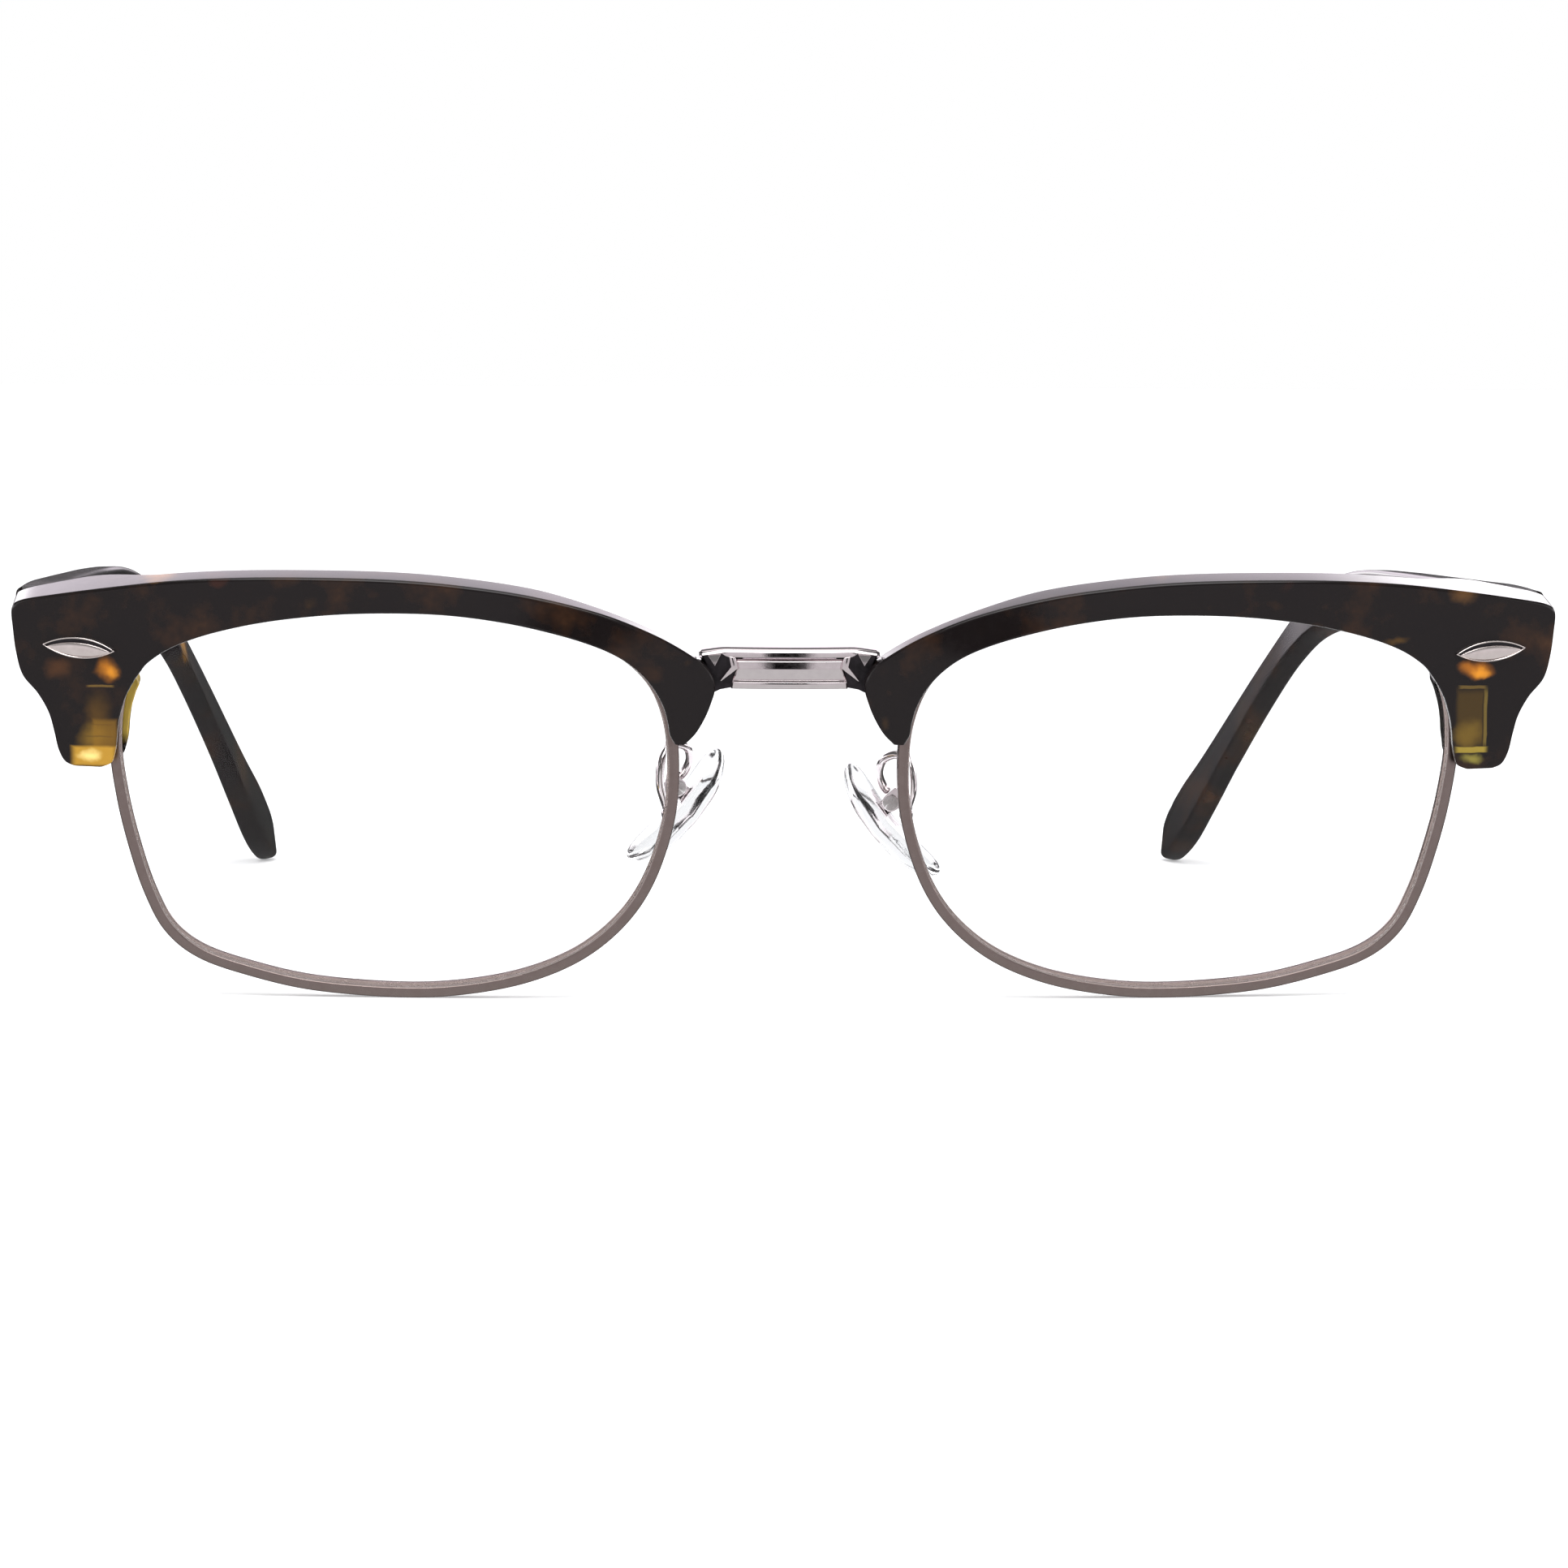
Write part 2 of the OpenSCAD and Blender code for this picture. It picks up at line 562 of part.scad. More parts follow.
// Metal insert in the pad, with the tab that the screw goes through
module pad_insert(side) {
    color(CHROME) at_pad(side) difference() {
        union() {
            translate([pad_pin_x, tab_w / 2, 0]) rotate([90, 0, 0])
                cylinder(r = tab_r, h = tab_w);
            translate([0.6, -tab_w / 2, -tab_r]) cube([pad_pin_x - 0.6, tab_w, 2 * tab_r]);
            translate([0.4, -1.6, -2.2]) cube([0.4, 3.2, 4.4]);
        }
        translate([pad_pin_x, 5, 0]) rotate([90, 0, 0])
            cylinder(r = pad_screw_r + pad_clear, h = 10);
    }
}

// Curved shell, its hollow side towards the arm, cut to a rounded outline
module pad_curve(r) {
    translate([pad_curve_r - pad_t / 2, pad_w, -insert_rise]) rotate([90, 0, 0])
        cylinder(r = r, h = 2 * pad_w, $fn = 96);
}

module nose_pad(side) {
    color(CLEAR, 0.5) at_pad(side) difference() {
        intersection() {
            translate([-5, 0, -insert_rise]) rotate([0, 90, 0]) linear_extrude(10)
                stadium(pad_l, pad_w);
            pad_curve(pad_curve_r);
        }
        pad_curve(pad_curve_r - pad_t);
        translate([0.4 - touch, -1.6 - touch, -2.2 - touch])
            cube([5, 3.2 + 2 * touch, 4.4 + 2 * touch]);
    }
}

// ---- nodes ----

bridge();
for (side = ["right", "left"]) {
    brow(side);
    brow_plaque(side);
    eyewire(side);
    lens(side);
    rim_lock(side, true);
    rim_lock(side, false);
    rim_lock_screw(side);
    brow_screws(side);
    front_hinge(side);
    temple_hinge(side);
    hinge_screw(side);
    front_rivets(side);
    temple_rivets(side);
    temple(side);
    temple_plaque(side);
    pad_arm(side);
    pad_box(side);
    pad_screw(side);
    pad_insert(side);
    nose_pad(side);
}
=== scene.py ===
"""Looks, light and camera for the half rim eyeglasses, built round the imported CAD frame.

Shapes are in millimetres until a mesh is made. The front is drawn upright, with u across,
v up from the bottom of the eyewires and w the depth behind the lens surface, as in the CAD.
"""
import math

import bpy
import numpy as np
from mathutils import Matrix, Vector


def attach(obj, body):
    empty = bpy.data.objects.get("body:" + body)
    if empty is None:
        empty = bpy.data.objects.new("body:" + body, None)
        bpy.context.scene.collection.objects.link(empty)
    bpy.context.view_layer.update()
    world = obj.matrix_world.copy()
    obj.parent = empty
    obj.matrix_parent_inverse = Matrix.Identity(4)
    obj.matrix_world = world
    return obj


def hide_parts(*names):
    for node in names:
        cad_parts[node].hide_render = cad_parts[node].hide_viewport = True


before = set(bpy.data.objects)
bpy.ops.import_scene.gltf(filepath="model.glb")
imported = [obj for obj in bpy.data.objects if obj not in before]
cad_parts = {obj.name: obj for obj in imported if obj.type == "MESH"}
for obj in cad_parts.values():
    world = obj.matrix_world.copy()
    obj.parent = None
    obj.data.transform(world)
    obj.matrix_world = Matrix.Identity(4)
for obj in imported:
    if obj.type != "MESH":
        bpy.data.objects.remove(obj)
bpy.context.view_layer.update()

MM = 0.001
SIDES = {"right": -1, "left": 1}

# ---- dimensions shared with the CAD, in millimetres and degrees ----

# Front: lean, ball-like curve of the lenses, wrap round the face, and where it stands
FRONT_TILT = math.radians(8)
CURVE_R = 150
FACE_FORM = math.radians(5)
LENS_MID_U = 36.5
CURVE_V = 18
CURVE_Y = 2.27
FRONT_LIFT = -0.64
MIDDLE_Y = -73.25
# Brow: thickness before and behind the lens surface, at the nose, and its edges
BROW_FRONT_T = 1.895
BROW_BACK_T = 2.6
BROW_NOSE_T = 0.9
BROW_EDGE_R = 0.4
BROW_INSET = 0.01
HINGE_PLANE_Y = 14.6
# Block behind the brow's foot, and the slot for the eyewire between them
FOOT_T = 2.9
FOOT_OVERHANG = {"right": 0.75, "left": 0.1}
SLOT_T = 2.45
# Eyewire: width, depth, and depth of its V groove; lens and its gap to the eyewire
WIRE_W = 0.97
WIRE_D = 2.2
GROOVE_D = 0.38
LENS_T = 1.6
LENS_GAP = 0.02
# Plaques
PLAQUE_AT = (65.55, 32.7)
PLAQUE_L = 6.8
PLAQUE_H = 1.95
TEMPLE_PLAQUE_AT = (72.08, 19, 34.7)
PLAQUE_GAP = 0.005
# Nose pads, the inserts in them and the arms behind them
PAD_L = 13.4
PAD_W = 7.2
PAD_T = 2.2
PAD_CURVE_R = 19
PAD_LEAN = math.radians(-40)
PAD_SPLAY = math.radians(-10)
PAD_POS = np.array([8.6, 9.4, 17.2])
PAD_OFFSET = {"right": 0.7, "left": -0.7}
INSERT_RISE = 1.3
ARM_D = 0.95
SOLDER_R = 0.62

# Middle line of the eyewire: u, v
EYEWIRE = [[36, 0.65], [44, 1.1], [50, 2.3], [54.6, 3.8], [57.5, 6.1], [59.3, 9.5],
           [60.7, 13.8], [61.8, 18.5], [62.4, 23.5], [61.8, 28.5], [59.4, 32.4], [55.2, 34.6],
           [49.6, 36.2], [43, 37.2], [36, 37.5], [28.6, 37.1], [21.5, 35.7], [16.2, 33.5],
           [12.8, 30.6], [11.1, 26.8], [10.6, 22.3], [11, 17.3], [12.7, 11.8], [15.3, 7.7],
           [19.2, 4.4], [24.2, 2.2], [30, 1]]
# Brow sections: lens side u, v, outer side u, v, reach of the pocket
BROW = [[10.6, 24.9, 9.6, 24.9, 0.5], [11.1, 25.8, 8.7, 25.8, 1.2], [11.3, 27, 7.9, 27.1, 1.8],
        [11.8, 28.6, 7.3, 28.5, 1.9], [12.8, 30.3, 6.9, 30.1, 2], [14.2, 31.8, 7.4, 31.6, 2.3],
        [16, 33.05, 9, 33, 2.7], [18.4, 34.1, 12.5, 35, 2.9], [21.7, 35.1, 17.5, 37, 2.3],
        [26, 36.05, 24, 38.6, 1.8], [31, 36.7, 30.5, 39.5, 1.7], [36, 36.86, 36.5, 39.92, 1.7],
        [42, 36.6, 43.5, 39.97, 1.7], [48, 35.8, 50.5, 39.75, 1.8], [53, 34.6, 57, 39.2, 2],
        [56.7, 33.2, 63, 38.3, 2.2], [59, 31.7, 68, 37.4, 2.1], [60, 30.5, 71.1, 36.7, 2.2],
        [60.4, 29.9, 71.9, 35.9, 2.4], [60.8, 29.2, 71.8, 34, 3], [61.2, 28.4, 71.5, 31.8, 4.4],
        [61.5, 27.5, 70.9, 29.8, 4.8], [61.8, 26.4, 69.5, 28.2, 4.7], [62, 25.1, 68.5, 26.5, 4.6],
        [62.1, 23.9, 68, 24.8, 4.4], [62.3, 22.8, 67.6, 23.1, 4], [62.6, 22.1, 67, 22, 3],
        [63.4, 21.7, 66.2, 21.65, 1.6]]
# Temple, front to back: y, z and x of its middle, half its height, half its thickness, and
# the angle that its top leans outwards
TEMPLE = [[12, 34.4, 70.15, 3.4, 1.9, 0], [26, 34.3, 70.15, 3.4, 1.9, 0],
          [42, 34, 69.9, 3.3, 1.8, 0], [60, 33.7, 69.2, 3.2, 1.65, 0],
          [78, 33.4, 68.3, 3.1, 1.5, 0], [92, 33.1, 66.9, 2.95, 1.4, 2],
          [101, 32.2, 65.3, 2.8, 1.3, 8], [108, 30.3, 63.5, 2.7, 1.2, 16],
          [114, 27, 61.7, 2.65, 1.15, 20], [121, 22.2, 59.7, 2.75, 1.15, 20],
          [129, 16.2, 57.4, 3, 1.15, 18], [137, 10.1, 55.2, 3.4, 1.2, 16],
          [143, 5.8, 53.6, 3.7, 1.25, 14], [147, 3.3, 52.6, 3.2, 1.2, 14],
          [149.2, 2.15, 52, 2.3, 0.95, 14], [149.99, 1.75, 51.8, 1.2, 0.6, 14]]
# Both temples turn by this much towards the same side, from TOE_Y back
TEMPLE_TOE = math.radians(0.6)
TOE_Y = 30
# Length over which the temple's cut end, parallel to the front, fades into square sections
TEMPLE_CUT_L = 16
# Pad arm's wire: u, w, v
ARM = [[11.05, 2.36, 17.4], [11.12, 3, 17.6], [11.75, 3.9, 19.5], [11.6, 5.2, 21.5],
       [10.6, 6.5, 22.6], [9.3, 7.6, 22.1], [8.9, 8.5, 20.7], [9.3, 9.15, 19.4], [9.75, 9.4, 18.8]]


# ---- curves and the surface of the front ----

def spline(points, steps, closed=False):
    """Catmull-Rom curve through the points."""
    p = np.asarray(points, float)
    n = len(p)
    t = (np.arange(steps) / steps)[:, None]
    out = []
    for i in range(n if closed else n - 1):
        if closed:
            a, b, c, d = p[i - 1], p[i], p[(i + 1) % n], p[(i + 2) % n]
        else:
            a, b, c, d = p[max(i - 1, 0)], p[i], p[i + 1], p[min(i + 2, n - 1)]
        out.append(0.5 * (2 * b + (c - a) * t + (2 * a - 5 * b + 4 * c - d) * t ** 2
                          + (3 * b - a - 3 * c + d) * t ** 3))
    if not closed:
        out.append(p[-1:])
    return np.concatenate(out)


def ramp(lo, hi, t):
    """0 below lo, 1 above hi and smooth between."""
    x = np.clip((t - lo) / (hi - lo), 0, 1)
    return x * x * (3 - 2 * x)


def unit(v):
    return v / np.linalg.norm(v, axis=-1, keepdims=True)


def depth(u, v):
    """Depth of the lens surface behind y = 0, on the upright front."""
    a = np.abs(u) - LENS_MID_U
    return (a * a + (v - CURVE_V) ** 2) / (2 * CURVE_R) + a * math.tan(FACE_FORM) + CURVE_Y


def slope_u(u):
    return (np.abs(u) - LENS_MID_U) / CURVE_R + math.tan(FACE_FORM)


def slope_v(v):
    return (v - CURVE_V) / CURVE_R


def stand(p):
    """Points of the upright front, x across, y back, z up, leant to where they belong."""
    p = np.asarray(p, float)
    c, s = math.cos(FRONT_TILT), math.sin(FRONT_TILT)
    y = p[..., 1] * c - p[..., 2] * s + MIDDLE_Y
    z = p[..., 2] * c + p[..., 1] * s + FRONT_LIFT
    return np.stack([p[..., 0], y, z], -1)


def rounded(corners, steps=5):
    """A closed outline with its corners rounded. corners: x, y, radius."""
    out = []
    n = len(corners)
    for i, (x, y, r) in enumerate(corners):
        c = np.array([x, y], float)
        if r <= 0:
            out.append(c)
            continue
        before = np.array(corners[i - 1][:2]) - c
        after = np.array(corners[(i + 1) % n][:2]) - c
        reach = min(r, 0.45 * np.linalg.norm(before), 0.45 * np.linalg.norm(after))
        a, b = c + unit(before) * reach, c + unit(after) * reach
        for k in range(steps + 1):
            t = k / steps
            out.append((1 - t) ** 2 * a + 2 * t * (1 - t) * c + t * t * b)
    return np.array(out)


# ---- meshes ----

def make_mesh(name, verts, faces, smooth=True):
    """A mesh object in metres from points in millimetres."""
    mesh = bpy.data.meshes.new(name)
    mesh.from_pydata([tuple(p) for p in np.asarray(verts) * MM], [], faces)
    mesh.update()
    obj = bpy.data.objects.new(name, mesh)
    bpy.context.collection.objects.link(obj)
    if smooth:
        mesh.polygons.foreach_set("use_smooth", [True] * len(mesh.polygons))
    return obj


def grid_faces(n, m, loop_n, flip):
    """Quads between n rings of m points, the rings closed round."""
    faces = []
    for i in range(n if loop_n else n - 1):
        for j in range(m):
            a, b, k = i * m, (i + 1) % n * m, (j + 1) % m
            quad = (a + j, a + k, b + k, b + j)
            faces.append(quad[::-1] if flip else quad)
    return faces


def loft(name, rings, side, loop=False):
    """A closed solid through rings of points, drawn for the left and mirrored for the right."""
    rings = np.asarray(rings, float).copy()
    n, m = rings.shape[:2]
    rings[..., 0] *= side
    verts = rings.reshape(-1, 3)
    flip = side < 0
    faces = grid_faces(n, m, loop, flip)
    if not loop:
        first = list(range(m))[::-1]
        last = [(n - 1) * m + j for j in range(m)]
        verts = np.vstack([verts, rings[0].mean(0), rings[-1].mean(0)])
        for ring, centre in ((first, n * m), (last, n * m + 1)):
            for j in range(m):
                tri = (ring[j], ring[(j + 1) % m], centre)
                faces.append(tri[::-1] if flip else tri)
    return make_mesh(name, verts, faces)


def prism(name, outline, y_back, side=1):
    """A flat piece of the upright front. outline: u, v and depth of the front."""
    if side < 0:
        outline = [(-u, v, y) for u, v, y in outline[::-1]]
    n = len(outline)
    front = [(u, y, v) for u, v, y in outline]
    back = [(u, y_back, v) for u, v, y in outline]
    faces = [tuple(range(n)), tuple(range(2 * n - 1, n - 1, -1))]
    faces += [((i + 1) % n, i, n + i, n + (i + 1) % n) for i in range(n)]
    return make_mesh(name, stand(front + back), faces, smooth=False)


def join(name, objects):
    """One object from several, kept as separate shells."""
    for obj in bpy.context.selected_objects:
        obj.select_set(False)
    for obj in objects:
        obj.select_set(True)
    bpy.context.view_layer.objects.active = objects[0]
    bpy.ops.object.join()
    objects[0].name = name
    objects[0].data.name = name
    return objects[0]


WELD_MM = 0.002
BEVEL_STEPS = 3
BEVEL_ABOVE = math.radians(35)


def soften(obj, width):
    """Rounds the edges of a piece with flat faces. width: millimetres."""
    weld = obj.modifiers.new("weld", "WELD")
    weld.merge_threshold = WELD_MM * MM
    bevel = obj.modifiers.new("bevel", "BEVEL")
    bevel.width = width * MM
    bevel.segments = BEVEL_STEPS
    bevel.limit_method = "ANGLE"
    bevel.angle_limit = BEVEL_ABOVE
    bevel.harden_normals = False
    flatten(obj)


def flatten(obj):
    """Keeps the shading of wide faces flat beside rounded edges."""
    obj.data.polygons.foreach_set("use_smooth", [True] * len(obj.data.polygons))
    normals = obj.modifiers.new("normals", "WEIGHTED_NORMAL")
    normals.weight = 90


# ---- brows ----

def brow_back(u, v):
    """Depth of the brow's back behind the lens surface: thin at the nose, deep at the foot."""
    tip = np.where(u < LENS_MID_U, ramp(24.8, 27.5, v), 1)
    lens_side = tip * (BROW_NOSE_T + (BROW_BACK_T - BROW_NOSE_T) * ramp(15, 24, u))
    foot = FOOT_T * ramp(58, 60.5, u) * ramp(33.5, 31, v)
    end = HINGE_PLANE_Y - depth(u, v) - lens_side - foot
    return lens_side + foot + end * ramp(58, 65.5, u) * ramp(27.5, 30.2, v)


def brow_section(s, overhang):
    """Section of a brow, its edges rounded. The pocket is closed behind by the foot's block."""
    a, b = np.array(s[:2]), np.array(s[2:4])
    w = np.linalg.norm(b - a) - BROW_INSET
    edge = min(BROW_EDGE_R, 0.3 * w)
    step = min(s[4], w - edge - 0.15)
    closed = float(ramp(31, 28.8, s[1])) if s[0] > 50 else 0
    lip = (step - 0.06) * (1 - closed) - overhang * closed

    def back(p):
        return max(0.01, float(brow_back(*(a + (b - a) * p / w))))

    slot = min(SLOT_T, back(lip) / 2)
    mid = (lip + w) / 2
    profile = rounded([
        (0, 0, 0.2), (0, -BROW_FRONT_T, edge), (w, -BROW_FRONT_T, edge),
        (w, back(w), 0.5), (mid, back(mid), 0), (lip, back(lip), 0.4), (lip, slot, 0.2),
        (step, slot, 0), (step, 0, 0.1)], 5)
    c = a + (b - a) * profile[:, :1] / w
    return np.stack([c[:, 0], depth(c[:, 0], c[:, 1]) + profile[:, 1], c[:, 1]], -1)


def build_brow(side):
    rings = [brow_section(s, FOOT_OVERHANG[side]) for s in spline(BROW, 7)]
    obj = loft(side + "_brow_shell", stand(rings), SIDES[side])
    flatten(obj)
    return obj


# ---- eyewires and lenses ----

def rim_path(steps):
    """Points round the middle of the eyewire and the outward direction at each."""
    p = spline(EYEWIRE, steps, closed=True)
    t = unit(np.roll(p, -1, 0) - np.roll(p, 1, 0))
    return p, np.stack([t[:, 1], -t[:, 0]], -1)


def build_eyewire(side):
    """A band with rounded edges and a V groove inside, swept round the lens."""
    h = WIRE_W / 2
    mid = WIRE_D / 2
    profile = rounded([
        (-h, 0, 0.13), (-0.1, -0.04, 0.1), (h, 0, 0.22), (h, WIRE_D, 0.22),
        (-h, WIRE_D, 0.13), (-h, mid + 0.45, 0.06), (GROOVE_D - h, mid, 0.06),
        (-h, mid - 0.45, 0.06)], 4)
    p, out = rim_path(9)
    rings = []
    for q in profile[::-1]:
        c = p + out * q[0]
        rings.append(np.stack([c[:, 0], depth(c[:, 0], c[:, 1]) + q[1], c[:, 1]], -1))
    rings = np.stack(rings, 1)
    obj = loft(side + "_eyewire_band", stand(rings), SIDES[side], loop=True)
    flatten(obj)
    return obj


def build_lens(side):
    """A meniscus lens with a bevelled edge that sits in the eyewire's groove."""
    edge = -WIRE_W / 2 - LENS_GAP
    bevel = edge + GROOVE_D
    mid = WIRE_D / 2
    half = LENS_T / 2
    spread = [0.02, 0.2, 0.4, 0.6, 0.8, 0.92, 0.99]
    rings = [(k, edge, mid - half) for k in spread] + [
        (1, edge - 0.06, mid - half), (1, edge, mid - half + 0.06), (1, edge, mid - 0.42),
        (1, bevel - 0.03, mid - 0.03), (1, bevel - 0.03, mid + 0.03), (1, edge, mid + 0.42),
        (1, edge, mid + half - 0.06), (1, edge - 0.06, mid + half)]
    rings += [(k, edge, mid + half) for k in spread[::-1]]
    centre = np.array([LENS_MID_U, CURVE_V + 0.5])
    p, out = rim_path(6)
    solid = []
    for k, n, w in rings:
        c = centre + (p + out * n - centre) * k
        solid.append(np.stack([c[:, 0], depth(c[:, 0], c[:, 1]) + w, c[:, 1]], -1))
    obj = loft(side + "_lens_clear", stand(solid), SIDES[side])
    flatten(obj)
    return obj


# ---- temples ----

def temple_section(s, go, along):
    """Section of a temple, square to its run. s: a row of TEMPLE. go: its direction there."""
    across = unit(np.array([go[1], -go[0], 0]))
    up = np.cross(across, go)
    lean_out = math.radians(s[5])
    wide = across * math.cos(lean_out) - up * math.sin(lean_out)
    tall = up * math.cos(lean_out) + across * math.sin(lean_out)
    cut = math.tan(FRONT_TILT) * (1 - ramp(0, TEMPLE_CUT_L, along))
    r = min(0.8, 0.75 * s[4], 0.75 * s[3])
    out = rounded([(s[4], s[3], r), (-s[4], s[3], r), (-s[4], -s[3], r), (s[4], -s[3], r)], 6)
    p = np.array([s[2], s[0], s[1]]) + wide * out[:, :1] + tall * out[:, 1:]
    p[:, 1] -= (p[:, 2] - s[1]) * cut
    return p


def build_temple(side):
    t = spline(TEMPLE, 7)
    place = t[:, [2, 0, 1]]
    go = unit(np.gradient(place, axis=0))
    toe = -SIDES[side] * np.maximum(0, t[:, 0] - TOE_Y) * math.tan(TEMPLE_TOE)
    rings = [temple_section(t[i], go[i], t[i][0] - t[0][0]) + np.array([toe[i], MIDDLE_Y, 0])
             for i in range(len(t))]
    obj = loft(side + "_temple_arm", rings[::-1], SIDES[side])
    flatten(obj)
    return obj


# ---- pointed plaques ----

def lozenge(length, height, n=24):
    """Half angles of a pointed oval, as points right round it."""
    r = (length ** 2 / 4 + height ** 2 / 4) / height
    half = math.asin(length / 2 / r)
    top = [(r * math.sin(half * (1 - 2 * i / n)), r * math.cos(half * (1 - 2 * i / n))
            - (r - height / 2)) for i in range(n)]
    return np.array(top + [(-x, -z) for x, z in top])


# Plaque, rim to middle: share of its length and height, shift down (mm), rise (mm)
PLAQUE_STEPS = [(1, 1, 0, 0), (1, 1, 0, 0.2), (0.985, 0.96, 0, 0.27), (0.96, 0.88, 0, 0.27),
                (0.945, 0.84, 0, 0.12), (0.9, 0.64, 0.17, 0.1), (0.89, 0.62, 0.17, 0.17),
                (0.85, 0.56, 0.16, 0.19), (0.5, 0.33, 0.1, 0.24), (0.02, 0.02, 0.05, 0.26)]
# The ring of faces given painted shade, near-black metal in the hollow, and how far each side's
# face is shifted down
PLAQUE_PAINTED_SHADE = 4
PLAQUE_DROP = {"right": 1.0, "left": 0.9}
PLAQUE_TILT = math.radians(2.5)


def plaque_rings(side):
    """Rings of a plaque: a raised rim, a hollow widest along its top that dress_plaque gives
    painted shade, a domed face.
    """
    outer = lozenge(PLAQUE_L, PLAQUE_H)
    return [np.stack([outer[:, 0] * a, np.full(len(outer), rise),
                      outer[:, 1] * b - down * PLAQUE_DROP[side]], -1)
            for a, b, down, rise in PLAQUE_STEPS]


def dress_plaque(obj, bright, dark):
    """Bright plating, with painted shade: the hollow round the domed face gets the near-black
    metal.
    """
    obj.data.materials.clear()
    obj.data.materials.append(bright)
    obj.data.materials.append(dark)
    around = len(lozenge(PLAQUE_L, PLAQUE_H))
    for i, polygon in enumerate(obj.data.polygons):
        if i // around == PLAQUE_PAINTED_SHADE:
            polygon.material_index = 1


def build_brow_plaque(side):
    """Stands proud of the brow's front, square to it, its outer end higher."""
    u, v = PLAQUE_AT
    y = float(depth(u, v)) - BROW_FRONT_T - PLAQUE_GAP
    c, s = math.cos(PLAQUE_TILT), math.sin(PLAQUE_TILT)
    rings = []
    for ring in plaque_rings(side):
        x = ring[:, 0] * c - ring[:, 2] * s
        rise = ring[:, 1]
        z = ring[:, 2] * c + ring[:, 0] * s
        rings.append(np.stack([u + x + slope_u(u) * rise, y + slope_u(u) * x
                               + slope_v(v) * z - rise, v + z + slope_v(v) * rise], -1))
    obj = loft(side + "_brow_badge", stand(rings), SIDES[side])
    flatten(obj)
    return obj


def build_temple_plaque(side):
    """The same plaque on the outside of the temple."""
    x0, y0, z0 = TEMPLE_PLAQUE_AT
    rings = []
    for ring in plaque_rings(side):
        x, rise, z = ring.T
        rings.append(np.stack([x0 + rise, y0 + MIDDLE_Y + x, z0 + z], -1))
    obj = loft(side + "_temple_badge", rings, SIDES[side])
    flatten(obj)
    return obj


# ---- bridge ----

BRIDGE_CURVE_R = 60
# How far back the flat pieces of the bridge reach
TRIM_BACK = 3.2
WING_BACK = 4.95
RECESS_BACK = 4.1
# Sections of the two bars: v, depth and corner radius
TOP_BAR = [(32.76, 3.7, 0.1), (32.74, 2.2, 0.05), (33.2, 2.29, 0.04), (33.46, 2.62, 0.12),
           (33.52, 3.7, 0.1)]
PANEL = [(29.76, 4.25, 0.15), (29.76, 2.3, 0.1), (30.22, 2.2, 0.05), (30.4, 2.24, 0.06),
         (30.5, 2.7, 0.04), (31.56, 2.44, 0.15), (32.28, 2.6, 0.04), (32.32, 2.2, 0.05),
         (32.56, 2.5, 0.05), (32.6, 4.25, 0.1)]
# Half the panel's width, by v: its ends are notched
PANEL_ENDS = np.array([[29.7, 5.38], [30.6, 5.25], [31.75, 4.7], [32.4, 4.94], [32.7, 4.98]])
# Outlines of the small pieces: u, v, depth of the front
CHEVRON = [(5.0, 32.72, 2.3), (5.62, 32.84, 2.3), (5.42, 31.85, 2.2), (6.46, 30.56, 2.3),
           (6.34, 30.5, 2.3), (4.8, 31.72, 2.2)]
FACET = [(6.2, 33.16, 2.95), (6.92, 31.92, 2.35), (7.75, 33.08, 2.95)]
RECESS = [(4.3, 29.76, 2.95), (5.5, 29.76, 2.95), (6.4, 29.62, 2.8), (7.1, 29.3, 2.7),
          (7.3, 30.5, 2.95), (7.6, 31.6, 2.95), (8.3, 33.1, 2.95), (6.2, 33.3, 2.95),
          (4.3, 33.3, 2.95)]
WING = [(4.5, 29.9, 4.15), (6.5, 29.5, 4.15), (10.9, 29.9, 4.15), (11.75, 30.9, 4.15),
        (12.2, 31.6, 4.15), (11.2, 33.0, 4.15), (9.5, 32.4, 4.15), (4.5, 32.4, 4.15)]
# The top bar: half its length, where it bends, its crest, and how far its ends drop
TOP_BAR_U = 8.35
BAR_BEND_U = 5.7
BAR_CREST_V = 33.2
BAR_DROP = 0.4
BAR_THINNING = 0.85


def sweep(name, section, half_width, shape):
    """A bar along u. half_width: from v. shape: new v from u and v."""
    outline = rounded(section, 3)
    v, y = outline[:, 0], outline[:, 1]
    rings = []
    for s in np.linspace(-1, 1, 57):
        u = s * half_width(v)
        rings.append(np.stack([u, y + u * u / (2 * BRIDGE_CURVE_R), shape(u, v)], -1))
    return loft(name, stand(rings), 1)


def bar_height(u, v):
    """The top bar thins towards its ends and turns down."""
    far = ramp(BAR_BEND_U, BAR_BEND_U + 0.7, np.abs(u))
    below = (BAR_CREST_V - v) * (1 - BAR_THINNING * far)
    thin = np.where(v < BAR_CREST_V, BAR_CREST_V - below, v)
    return thin - BAR_DROP * ramp(BAR_BEND_U, 9.2, np.abs(u))


